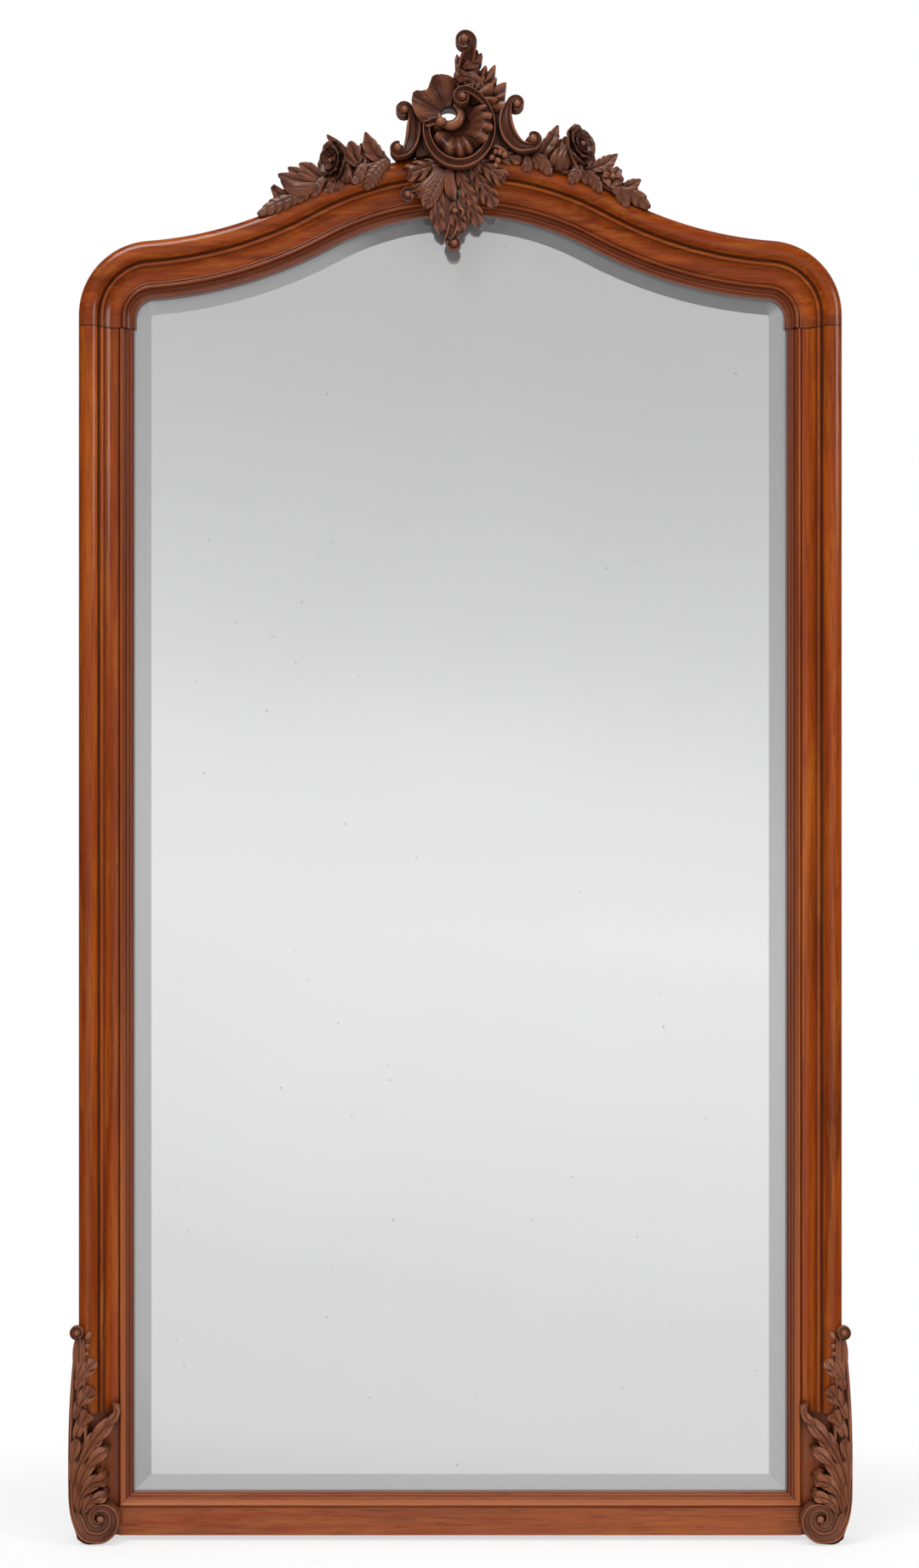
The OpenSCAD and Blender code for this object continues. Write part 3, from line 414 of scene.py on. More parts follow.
def iron():
    tree = Tree(bpy.data.materials.new("old_iron"))
    blotch = tree.noise(tree.place(), 130.0, 6.0)
    rust = blotch.between(0.46, 0.66)
    return tree.finish({
        "Base Color": tree.mix(rust, rgb(96, 96, 98), rgb(92, 54, 34)),
        "Roughness": 0.38 + 0.4 * rust, "Metallic": 1.0 - 0.8 * rust,
        "Normal": tree.node("ShaderNodeBump", {"Strength": 0.3, "Distance": 0.0003, "Height": blotch})})


dress(iron(), "hanger_plate_left", "hanger_plate_right", "hanger_screws", "backboard_screws",
      "crest_screws", "leafage_screws", "garland_pins")

# Crest, main block: a pierced shell in an oval C-scroll, between two side scrolls, with a fan of
# leaves behind its top. One thick piece of walnut, carved and left with a duller, browner skin.
# From here on, sizes are in millimetres: across, up, and out from the wall
wall_y = 49.0
crest_x, crest_z = 0.0, 2048.39
crest_back, head_front = 10.2, 56.5
carving_angle = 48


def smooth(s):
    """0 below 0, 1 above 1, and 3s^2 - 2s^3 between."""
    s = np.clip(s, 0, 1)
    return s * s * (3 - 2 * s)


def spline(rows, count):
    """Catmull-Rom curve through rows of numbers, at count even steps of its parameter."""
    p = np.asarray(rows, float)
    p = np.vstack([2 * p[0] - p[1], p, 2 * p[-1] - p[-2]])
    u = np.linspace(0, len(rows) - 1, count)
    i = np.minimum(u.astype(int), len(rows) - 2)
    f = (u - i)[:, None]
    a, b, c, d = p[i], p[i + 1], p[i + 2], p[i + 3]
    return 0.5 * (2 * b + (c - a) * f + (2 * a - 5 * b + 4 * c - d) * f ** 2
                  + (3 * b - a - 3 * c + d) * f ** 3)


def skin(rings, worn, closed=False):
    """Closed surface over rings of points, shaped (stations, ring, 3): quads between neighbours, and a
    fan from the middle of each end ring, or the last ring joined to the first where closed."""
    stations, around, _ = rings.shape
    grid = np.arange(stations * around).reshape(stations, around)
    if closed:
        grid = np.vstack([grid, grid[:1]])
    turned = np.roll(grid, -1, 1)
    quads = np.stack([grid[:-1], turned[:-1], turned[1:], grid[1:]], -1).reshape(-1, 4)
    points = rings.reshape(-1, 3)
    worn = np.broadcast_to(worn, (stations, around)).reshape(-1)
    fans = np.zeros((0, 3), int)
    if not closed:
        count = len(points)
        points = np.vstack([points, rings[0].mean(0), rings[-1].mean(0)])
        worn = np.append(worn, [worn[0], worn[-1]])
        fans = np.vstack([
            np.stack([np.full(around, count), turned[0], grid[0]], 1),
            np.stack([np.full(around, count + 1), grid[-1], turned[-1]], 1)])
    corners = np.vstack([quads[:, [0, 1, 2]], quads[:, [0, 2, 3]], fans])
    a, b, c = points[corners[:, 0]], points[corners[:, 1]], points[corners[:, 2]]
    if np.sum(a * np.cross(b, c)) < 0:
        quads, fans = quads[:, ::-1], fans[:, ::-1]
    return points, quads, fans, worn


def leaf(rows, t, floor, lift=0.0, curl=0.0, start=0.55, free=2.0, teeth=5, bite=0.18, soft=False,
         crown=0.34, fold=0.0, flute=0.07, slant=0.5, thin=2.2, veins=0.0):
    """Carved leaf along rows of x, z and half width, its root t in front of the wall.

    Its slope is lift, plus curl as it passes start, in degrees; how far it has gone forward and
    outward are running sums of that slope's cosine and sine. v goes from -1 to 1 across it. Its edge
    is drawn in by bite after each tooth, which is a saw tooth or, where soft, a rounded lobe, and is
    pushed to the tip by slant times v squared. Its face stands crown times the half width high and
    its edges fold times |v|, less a groove flute deep from each notch, one along the midrib and veins
    times a cosine of v. Its underside is the floor, and a thin wall behind the face past the station
    free."""
    s = np.linspace(0, 1, 64)[:, None]
    upper, lower = np.sin(np.linspace(-1, 1, 21) * math.pi / 2), [0.93, 0.5, 0.0, -0.5, -0.93]
    v = np.append(upper, lower)[None, :]
    under = np.arange(v.size)[None, :] >= upper.size
    line = spline(rows, 160)
    ahead = line[-1] - line[-2]
    line = np.vstack([line, line[-1] + ahead / np.hypot(*ahead[:2]) * 60])
    run = np.append(0, np.cumsum(np.hypot(*np.diff(line[:, :2], axis=0).T)))
    length = run[-2]
    slope = np.radians(lift + curl * smooth((s - start) / (1 - start)))
    step = length / (len(s) - 1)
    forward = np.cumsum(np.cos(slope), axis=0) * step - step
    rise = np.cumsum(np.sin(slope), axis=0) * step
    width = np.interp(s * length, run[:-1], line[:-1, 2])
    tooth = (teeth * s + 0.1) % 1
    notch = (1 - np.sin(math.pi * tooth)) ** 2 if soft else (1 - tooth) ** 0.8
    groove = np.exp(-(np.minimum(tooth, 1 - tooth) / 0.16) ** 2)
    reach = width * v * (1 - bite * notch * v ** 2)
    face = width * (crown * (1 - np.abs(v) ** 1.7) + fold * np.abs(v)
                    + flute * np.abs(v) ** 0.7 * (0.5 * np.sin(math.pi * tooth) - groove)
                    - 0.10 * np.exp(-(v / 0.1) ** 2) - 0.14 * v ** 10 - veins * np.cos(3 * math.pi * v))
    push = slant * width * v ** 2
    loose = smooth((s - free) / 0.3)
    drop = np.where(under, thin, 0.0) * loose
    along = forward + push * np.cos(slope) - (face - drop) * np.sin(slope)
    out = t + rise + push * np.sin(slope) + (face - drop) * np.cos(slope)
    out = np.where(under, (1 - loose) * floor + loose * out, np.maximum(out, floor + 0.4))
    x, z = (np.interp(along, run, line[:, k]) for k in (0, 1))
    way = np.gradient(line[:, :2], run, axis=0)
    dx, dz = (np.interp(along, run, way[:, k]) for k in (0, 1))
    scale = np.maximum(np.hypot(dx, dz), 1e-6)
    rings = np.stack([x - dz / scale * reach, z + dx / scale * reach, out], -1)
    # Painted highlight and wear: lighter towards the leaf's edges, none in its grooves or underneath,
    # where the material paints shade
    worn = np.clip((1 - groove) * (0.25 + 0.75 * np.abs(v) ** 3), 0, 1) * ~under
    return skin(rings, worn)


def beside(line, across, out):
    """Rings at distances across from a line of x and z, square to it, and out from the wall."""
    way = np.gradient(line[:, :2], axis=0)
    way /= np.maximum(np.hypot(way[:, 0], way[:, 1]), 1e-6)[:, None]
    return np.stack([line[:, :1] - way[:, 1:] * across, line[:, 1:2] + way[:, :1] * across, out], -1)


def scroll(rows, floor, hollow=0.4, ridge=0.0, stations=120):
    """Band carried along rows of x, z, half width and front: a rolled bead at each edge, a hollow
    between them, a ridge along its middle where one is asked for, and sides straight back to the
    floor, which may be a list of levels along it."""
    v = np.linspace(-1, 1, 25)
    bead = 1 - np.sqrt(np.clip(1 - ((np.abs(v) - 0.78) / 0.22) ** 2, 0, 1))
    dip = 1 + hollow / 0.4 * np.cos(math.pi * v / 1.12) ** 2
    high = np.where(np.abs(v) > 0.56, -0.4 * bead, -0.4 * dip) + ridge * np.exp(-(v / 0.16) ** 2)
    line = spline(rows, stations)
    width, front = line[:, 2:3], line[:, 3:4]
    floor = np.interp(np.linspace(0, 1, stations), np.linspace(0, 1, np.size(floor)), np.ravel(floor))
    across = np.append(v, [0.96, -0.96])[None, :] * width
    out = np.concatenate([front + width * high, np.repeat(floor[:, None], 2, 1)], 1)
    out[:, :v.size] = np.maximum(out[:, :v.size], floor[:, None] + 0.3)
    # Painted highlight and wear on the rolled beads at the band's edges
    worn = np.append(np.exp(-((np.abs(v) - 0.8) / 0.14) ** 2), [0, 0])[None, :]
    return skin(beside(line, across, out), worn)


def spiral(centre, radius, turn, width, front, count=9):
    """Rows of x, z, half width and front on a spiral; radius, turn in degrees, width and front each go
    from a first to a last value, the radius falling fastest at first."""
    s = np.linspace(0, 1, count)
    r = radius[0] + (radius[1] - radius[0]) * s ** 0.85
    a = np.radians(turn[0] + (turn[1] - turn[0]) * s)
    return np.stack([centre[0] + r * np.cos(a), centre[1] + r * np.sin(a),
                     width[0] + (width[1] - width[0]) * s, front[0] + (front[1] - front[0]) * s], 1)


def boss(centre, radius, t, depth=1.0, turn=0.0, long=1.0):
    """Ball or egg: a half circle turned round the line out of the wall, depth times its radius deep,
    long times its radius along the way that turn gives."""
    a = np.linspace(0.06, math.pi - 0.06, 17)[:, None]
    b = np.linspace(0, 2 * math.pi, 24, endpoint=False)[None, :]
    p = radius * long * np.sin(a) * np.cos(b)
    q = radius * np.sin(a) * np.sin(b)
    c, d = math.cos(math.radians(turn)), math.sin(math.radians(turn))
    out = t - radius * depth * np.cos(a) + 0 * b
    rings = np.stack([centre[0] + p * c - q * d, centre[1] + p * d + q * c, out], -1)
    # Painted highlight and wear, growing towards the front of the ball
    return skin(rings, np.clip((out - t) / radius / depth, 0, 1))


def stem(rows):
    """Round tube along rows of x, z, distance from the wall and radius."""
    line = spline(rows, 64)
    b = np.linspace(0, 2 * math.pi, 18, endpoint=False)[None, :]
    side, out = line[:, 3:] * np.cos(b), line[:, 2:3] + line[:, 3:] * np.sin(b)
    # Painted highlight and wear on the front of the tube
    return skin(beside(line, side, out), np.clip(np.sin(b), 0, 1) + 0 * side)


def fan(centre, inner, rim, ribs, levels, floor, flute=2.2, scallop=0.05, pointed=False, sway=0.0,
        comb=0.0):
    """Shell about a centre. rim holds rows of angle and radius. Its front runs through levels from the
    inner radius to the rim, less flute times a rectified sine of the angle that deepens outwards, and
    its rim is scalloped by the same sine, or comes to a point at each rib. The ribs are evenly spaced,
    but for sway, and comb is the height of five fine ridges on each."""
    line = spline(rim, 160)
    q = np.linspace(0, 1, len(line))[:, None]
    q = q + sway * np.sin(math.pi * q) * np.sin(11 * q + 1)
    rib = np.abs(np.sin(math.pi * ribs * q))
    lobe = 1 - np.abs(2 * ((ribs * q) % 1) - 1) if pointed else rib
    upper, lower = np.linspace(0, 1, 22), [1.0, 0.3]
    r = np.append(upper, lower)[None, :]
    reach = inner + (line[:, 1:] * (1 - scallop + scallop * lobe) - inner) * r
    height = spline(np.asarray(levels, float)[:, None], 101)[:, 0]
    out = np.interp(r, np.linspace(0, 1, len(height)), height) - flute * (1 - rib) * np.sqrt(r)
    out = out + comb * np.cos(2 * math.pi * 5 * ribs * q) * np.sqrt(r)
    out = np.where(np.arange(r.size)[None, :] >= upper.size, floor, out)
    a = np.radians(line[:, :1])
    rings = np.stack([centre[0] + reach * np.cos(a), centre[1] + reach * np.sin(a), out], -1)
    # Painted highlight and wear on the ribs, growing towards the rim
    return skin(rings, np.clip(rib, 0, 1) ** 3 * r)


def pierced(rows, centre, radius, back, front, edge=3.0, flare=0.0):
    """Plate between a round hole and an outline through rows of x and z, all in sight of the hole. Its
    section goes over the front, a rounded edge, the back and the hole, which is flare wider behind."""
    rows = np.asarray(rows, float)
    loop = spline(np.vstack([rows, rows[:1]]), 181)[:-1]
    way = loop - np.asarray(centre)
    far = np.hypot(way[:, 0], way[:, 1])[:, None]
    way = way / far
    bend = np.linspace(0, math.pi / 2, 6)
    hole = radius + 0 * far
    reach = np.concatenate([hole, hole + 1.5, far - edge + edge * np.sin(bend), far, hole + flare], 1)
    out = np.concatenate([[front - 1.5, front], front - edge + edge * np.cos(bend), [back, back]])
    rings = np.stack([centre[0] + way[:, :1] * reach, centre[1] + way[:, 1:] * reach, out + 0 * reach],
                     -1)
    return skin(rings, 0.1, closed=True)


def carved(name, shapes, node, mirror=False, painted_floor_light=0.0):
    """Joins closed shapes, in millimetres across, up and out from the wall, into one walnut piece;
    rubbed lightens it all over through its painted highlight and wear weights, and on the feet stands
    for painted light from the floor."""
    points = np.vstack([s[0] for s in shapes])
    starts = np.cumsum([0] + [len(s[0]) for s in shapes])
    quads, fans = (np.vstack([s[i] + k for s, k in zip(shapes, starts)]) for i in (1, 2))
    if mirror:
        points = points * [-1, 1, 1]
        quads, fans = quads[:, ::-1], fans[:, ::-1]
    mesh = bpy.data.meshes.new(name)
    placed = np.stack([points[:, 0], wall_y - points[:, 2], points[:, 1]], 1) / 1000
    mesh.from_pydata(placed.tolist(), [], quads.tolist() + fans.tolist())
    mesh.shade_smooth()
    mesh.set_sharp_from_angle(angle=math.radians(carving_angle))
    # Painted highlight and wear, with rubbed added, kept on each point for the material
    worn = mesh.attributes.new("worn", "FLOAT", "POINT")
    worn.data.foreach_set("value", np.clip(np.concatenate([s[3] for s in shapes]) + painted_floor_light, 0, 1))
    mesh.materials.append(carved_walnut)
    piece = bpy.data.objects.new(name, mesh)
    scene.collection.objects.link(piece)
    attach(piece, "root")
    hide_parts(node)


def carver_walnut():
    """Waxed walnut from the carver's bench: brown and dull, with painted shade dark in each recess and
    on the low parts, and painted highlights with wear lighter on the ridges.
    """
    tree = Tree(bpy.data.materials.new("carved_walnut"))
    place = tree.place()
    drift = tree.noise(place, 16.0, 4.0)
    fibre = tree.noise(tree.node("ShaderNodeMapping", {"Vector": place, "Scale": (60.0, 60.0, 9.0)}),
                       5.0, 6.0, 0.65)
    tool = tree.noise(place, 240.0, 3.0)
    tone = tree.node("ShaderNodeValToRGB", [drift * 0.6 + fibre * 0.4], stops=[
        (0.34, rgb(66, 32, 20)), (0.46, rgb(88, 46, 30)), (0.56, rgb(100, 56, 38)),
        (0.68, rgb(116, 62, 34))])
    # Painted highlight and wear on the ridges, from weights on each point
    ridge = tree.node("ShaderNodeAttribute", out="Fac", attribute_name="worn")
    # Painted shade: ambient occlusion darkens each recess and where parts meet, standing for shade with
    # some wax
    shade = tree.node("ShaderNodeAmbientOcclusion", {"Distance": 0.010}, out="AO", samples=12)
    painted_shade_and_wax = (1.0 - shade).between(0.10, 0.70)
    bump = tree.node("ShaderNodeBump", {"Strength": 0.35, "Distance": 0.0005,
                                        "Height": tool * 0.6 + fibre * 0.4})
    return tree.finish({
        # Painted highlight and wear on the ridges, painted shade on the low parts, then painted shade
        # and wax in each recess
        "Base Color": tree.over(tone, (ridge * 0.5, (152, 92, 60)),
                                ((1.0 - ridge).between(0.35, 1.0) * 0.4, (48, 21, 12)),
                                (painted_shade_and_wax * 0.94, (26, 10, 5))),
        "Roughness": 0.30 + 0.16 * drift + 0.25 * painted_shade_and_wax, "Normal": bump,
        "Specular IOR Level": 0.28, "Coat Weight": 0.16, "Coat Roughness": 0.18})


carved_walnut = carver_walnut()


def on_crest(rows):
    """Rows that start with x and z from the middle of the crest, moved to their place."""
    rows = np.array(rows, float)
    rows[:, 0] += crest_x
    rows[:, 1] += crest_z
    return rows


acanthus = {"teeth": 4, "soft": True, "bite": 0.42, "flute": 0.26, "slant": 0.9, "crown": 0.34,
            "veins": 0.05}


def crest_leaf(rows, t, floor=head_front, **how):
    return leaf(on_crest(rows), t, floor, **{**acanthus, **how})


def crest_scroll(rows, floor, **how):
    return scroll(on_crest(rows), floor, **how)


def at_crest(x, z):
    return crest_x + x, crest_z + z


def crest_boss(x, z, radius, t, **how):
    return boss(at_crest(x, z), radius, t, **how)


pierce, pierce_r = at_crest(-17.0, 25.0), 11.4
bowl = at_crest(-6, 8)
back_plate = on_crest([
    (24, 84), (8, 76), (-12, 68), (-30, 62), (-40, 52), (-58, 44), (-66, 34), (-62, 20), (-64, 2),
    (-64, -14), (-64, -33.6), (-44, -31.8), (-16, -30), (16, -30), (44, -31.8), (66, -34), (72, -12),
    (62, 6), (60, 24), (60, 40), (54, 58), (40, 74)])[:, :2]
front_plate = on_crest([
    (6, 62), (-20, 58), (-40, 42), (-54, 20), (-57, -8), (-51, -27), (-38, -40), (-22, -49), (-2, -53),
    (16, -49), (36, -38), (58, -40), (64, -28), (56, -6), (52, 14), (44, 36), (28, 54)])[:, :2]
oval = np.radians(np.linspace(176, 436, 17))
round_oval = np.linspace(0, 1, len(oval))
oval_rows = np.stack([-2 + 47.5 * np.cos(oval), 3 + 52.5 * np.sin(oval),
                      np.interp(round_oval, [0, 0.3, 0.55, 0.85, 1], [5.2, 7.2, 6.0, 4.6, 5.4]),
                      np.interp(round_oval, [0, 0.3, 0.7, 1], [78, 79, 79, 88])], 1)
oval_scroll = np.vstack([
    [(-23, 5, 3.5, 76), (-30, 9.0, 5.4, 79), (-39, 10.5, 5.6, 80), (-46.5, 7, 5.0, 79)],
    oval_rows,
    spiral((3.0, 42), (10.4, 6.0), (112, 390), (5.0, 2.4), (91, 95), 9)])
left_scroll = np.vstack([
    spiral((-82, 30), (9.4, 7.0), (24, 290), (4.4, 2.6), (70, 73), 11)[::-1],
    [(-67.5, 20, 8.8, 70), (-67, 4, 11.2, 70), (-70, -13, 10.4, 70), (-77, -28, 7.4, 71)],
    spiral((-90.5, -26), (9.4, 7.0), (-62, -290), (4.4, 2.2), (72, 76), 9)])
right_scroll = np.vstack([
    spiral((80.5, 39), (9.6, 7.2), (160, -110), (4.6, 2.6), (70, 73), 11)[::-1],
    [(66, 27, 8.8, 69), (66, 9, 11.4, 69), (73, -8, 11.4, 69), (86, -21, 9.2, 70)],
    spiral((105, -13), (10.4, 7.2), (-104, 128), (5.4, 2.4), (71, 76), 9)])
# The side scrolls go far back between their volutes, which stay shallow
volute_floor = [58] * 9 + [52, 42, 30, 24, 24, 24, 30, 40, 50] + [56] * 6
lip = np.radians(np.linspace(-176, 58, 13))
lip_r = 2.0 + 5.6 * np.sin(np.linspace(0, 1, len(lip)) * math.pi) ** 1.2
cartouche = [
    pierced(back_plate, pierce, pierce_r, crest_back, 57.0, flare=8.0),
    pierced(front_plate, pierce, pierce_r, head_front, 61.0),
    # Shell at the upper left, and the ribbed bowl inside the oval
    fan(pierce, 11.5, [(204, 42), (190, 46), (176, 51), (166, 55), (156, 57), (149, 56),
        (140, 47), (132, 45), (122, 50), (114, 55), (104, 55), (94, 53), (84, 49), (76, 43)],
        3, (66, 65, 68, 77), 20, flute=-4.5, scallop=0.0, comb=0.7),
    fan(bowl, 12, [(-186, 36), (-150, 42), (-110, 47), (-70, 48), (-30, 45), (10, 46), (34, 46)],
        8, (62, 71, 76, 67), head_front, flute=5.6, scallop=0.06, sway=0.045),
    # Lobes of the bowl that lap over the right of the oval band
    fan(bowl, 20, [(-42, 50), (-20, 53), (0, 53), (20, 50), (36, 46)],
        4, (72, 83, 91, 87), 60, flute=4.5, scallop=0.14, comb=0.5),
    # Smooth lip round the piercing
    stem(np.stack([pierce[0] + (11.2 + lip_r) * np.cos(lip), pierce[1] + (11.2 + lip_r) * np.sin(lip),
                   np.full(len(lip), 70), lip_r], 1)),
    crest_scroll(oval_scroll, 57, hollow=0.42, stations=260),
    crest_boss(3.0, 42, 4.4, 93, depth=0.8),
    crest_boss(-28, 9.5, 6.4, 78, depth=0.9, turn=20, long=1.3),
    crest_scroll(left_scroll, volute_floor, hollow=-0.14, ridge=0.14, stations=220),
    crest_boss(-81, 29.5, 5.2, 71), crest_boss(-90.5, -26, 5.6, 74),
    crest_scroll(right_scroll, volute_floor, hollow=-0.14, ridge=0.14, stations=220),
    crest_boss(82, 38, 5.4, 71), crest_boss(105, -13, 6.0, 73),
    # Solid roll inside each volute
    crest_boss(-82, 30, 11.4, 56, depth=0.8), crest_boss(-90.5, -26, 11.6, 50, depth=1.6),
    crest_boss(80.5, 39, 11.6, 56, depth=0.8), crest_boss(105, -13, 11.4, 50, depth=1.6),
    crest_boss(3, 42, 10.4, 72, depth=1.6),
    # Fan of leaves behind the top, in two layers, the front one rolled over
    fan(at_crest(14, 40), 4, [(-16, 48), (4, 50), (14, 53), (20, 55), (29, 61), (37, 53),
        (46, 55), (57, 67), (66, 60), (74, 61), (90, 58), (106, 53), (118, 50), (130, 46), (142, 34)],
        9, (68, 67, 62, 66), 24, flute=6.5, scallop=0.16, sway=0.03),
    fan(at_crest(12, 38), 4, [(0, 42), (24, 44), (48, 48), (70, 47), (92, 45), (112, 42),
        (134, 34)], 6, (70, 78, 78, 68), 60, flute=6.0, scallop=0.16, pointed=True, sway=0.04),
    crest_leaf([(34, 56, 7), (22, 68, 11), (4, 74, 9), (-14, 73, 2)], 72, 60, teeth=2, lift=10,
               curl=100, free=0.4),
    # Berries under the right side scroll
    stem(on_crest([(40, -24, 64, 2.4), (50, -22, 66, 3.0), (60, -26, 66, 2.6), (68, -32, 64, 1.8)])),
    crest_leaf([(40, -28, 6), (56, -36, 9), (70, -36, 9), (88, -40, 3)], 58, 20, teeth=3)]
cartouche += [crest_boss(x, z, r, 65 + 0.2 * r) for x, z, r in (
    (45, -38, 5.2), (54, -43, 5.0), (57, -31, 5.0), (50, -30, 4.6), (64, -35, 4.8), (51, -50, 4.6))]
carved("cartouche", cartouche, "crest_cartouche")

# Finial: a scroll on a short neck with two small leaves, leaning forward. It is carved from a piece of
# its own and dowelled into the top of the main block
finial_scroll = np.vstack([
    [(5, 86, 10.5, 61), (7.5, 95, 11.4, 67), (10.5, 104, 11.4, 75), (14, 112, 9.0, 81)],
    spiral((6.4, 124.4), (12.4, 8.4), (-24, 290), (5.6, 3.0), (84, 91), 12)])
carved("finial", [
    crest_scroll(finial_scroll, [32, 34, 44, 56] + [68] * 12, hollow=0.14, stations=190),
    crest_boss(5.4, 125.4, 6.2, 88), crest_boss(6.4, 124.4, 13.4, 73, depth=0.75),
    crest_leaf([(4, 90, 7), (14, 96, 9), (22, 103, 8), (28, 111, 4)], 66, 40, teeth=2, lift=14,
               bite=0.2, curl=40),
    crest_leaf([(3, 88.5, 5), (-1, 95, 5.5), (-3.6, 103, 4), (-5, 113, 1)], 60, 34, teeth=2)],
    "crest_finial")

# Leafage: the spray that spills from the crest over the moulding and ends in a hanging scroll, carved
# from a second piece and screwed on through the head
core = on_crest([(-36, -46), (-38, -66), (-37, -90), (-34, -110), (-26, -132), (-19, -148), (-9, -152),
                 (0, -146), (9, -134), (20, -122), (26, -104), (34, -84), (40, -62), (34, -44),
                 (0, -44)])[:, :2]
pendant = np.vstack([
    [(-8, -120, 7, 62), (-10, -134, 7.5, 62), (-14, -147, 6.5, 63), (-18.5, -156, 4.6, 64)],
    spiral((-8.5, -162), (8.2, 5.4), (150, 440), (3.8, 2.0), (65, 69), 11)])
petal = {"teeth": 1, "bite": 0.05, "flute": 0.03, "crown": 0.42, "slant": 0.3, "veins": 0.0}
carved("leafage", [
    pierced(core, at_crest(-6, -80), 1.0, 42.0, 58.5),
    crest_leaf([(-26, -80, 8), (-33, -104, 11), (-33, -122, 10), (-27, -144, 3)], 58, 50, teeth=3),
    crest_leaf([(4, -84, 8), (15, -104, 12), (21, -118, 10), (27, -133, 2)], 58, 50, teeth=3),
    crest_leaf([(-6, -96, 8), (-6, -114, 12), (-3, -128, 9), (3, -142, 3)], 60, 50, teeth=3),
    crest_leaf([(14, -48, 9), (28, -68, 14), (39, -86, 13), (50, -107, 3)], 59),
    crest_leaf([(20, -38, 9), (36, -50, 13), (52, -62, 12), (74, -77, 3)], 61, lift=5, curl=90,
               start=0.65, free=0.5),
    crest_leaf([(-28, -42, 9), (-46, -50, 14), (-64, -57, 13), (-90, -66, 3)], 61, lift=5, curl=110,
               start=0.6, free=0.45),
    crest_leaf([(-34, -58, 7), (-46, -66, 10), (-56, -74, 10), (-68, -84, 4)], 59, teeth=3),
    crest_leaf([(-28, -52, 7), (-40, -68, 10), (-50, -80, 10), (-60, -95, 3)], 61, **petal),
    crest_leaf([(-22, -54, 7), (-32, -74, 11), (-42, -92, 11), (-51, -108, 3)], 63, teeth=8, bite=0.1,
               flute=0.1),
    crest_leaf([(-4, -56, 7), (4, -74, 10), (12, -90, 9), (20, -106, 2)], 62, teeth=3),
    crest_leaf([(-16, -54, 6), (-16, -72, 8.5), (-13, -86, 8), (-8, -99, 2)], 65, **petal),
    crest_scroll(np.vstack([[(-50, -76, 4, 62), (-62, -80, 5, 63)],
                 spiral((-76, -92), (9.4, 5.8), (62, 330), (4.0, 2.0), (64, 68), 11)]), head_front,
                 stations=150),
    crest_boss(-76, -92, 4.6, 67), crest_boss(-76, -92, 9.6, 57, depth=0.7),
    crest_scroll(pendant, 50, stations=150),
    crest_boss(-8.5, -162, 4.4, 66), crest_boss(-8.5, -162, 9.6, 55, depth=0.9),
    crest_boss(-8, -116, 4.4, 68),
    stem(on_crest([(-2, -110, 64, 1.4), (4, -116, 66, 2.4), (1, -124, 64, 1.4)]))],
    "crest_leafage")

# Garlands: a stem along each half of the head, with leaves that stand above it and leaves that lap
# over the roll. Each is one thin piece of walnut, carved and pinned on


def over_head(rows, t=58.0, floor=56.4, teeth=3, **how):
    """Leaf that lies on the front of the head's roll."""
    return leaf(rows, t, floor, teeth=teeth, **how)


def on_stem(rows, t=50.0, floor=42.0, teeth=3, **how):
    """Leaf that stands up from the garland's stem, folded along its midrib."""
    return leaf(rows, t, floor, teeth=teeth, lift=4, crown=0.1, fold=0.3, **how)


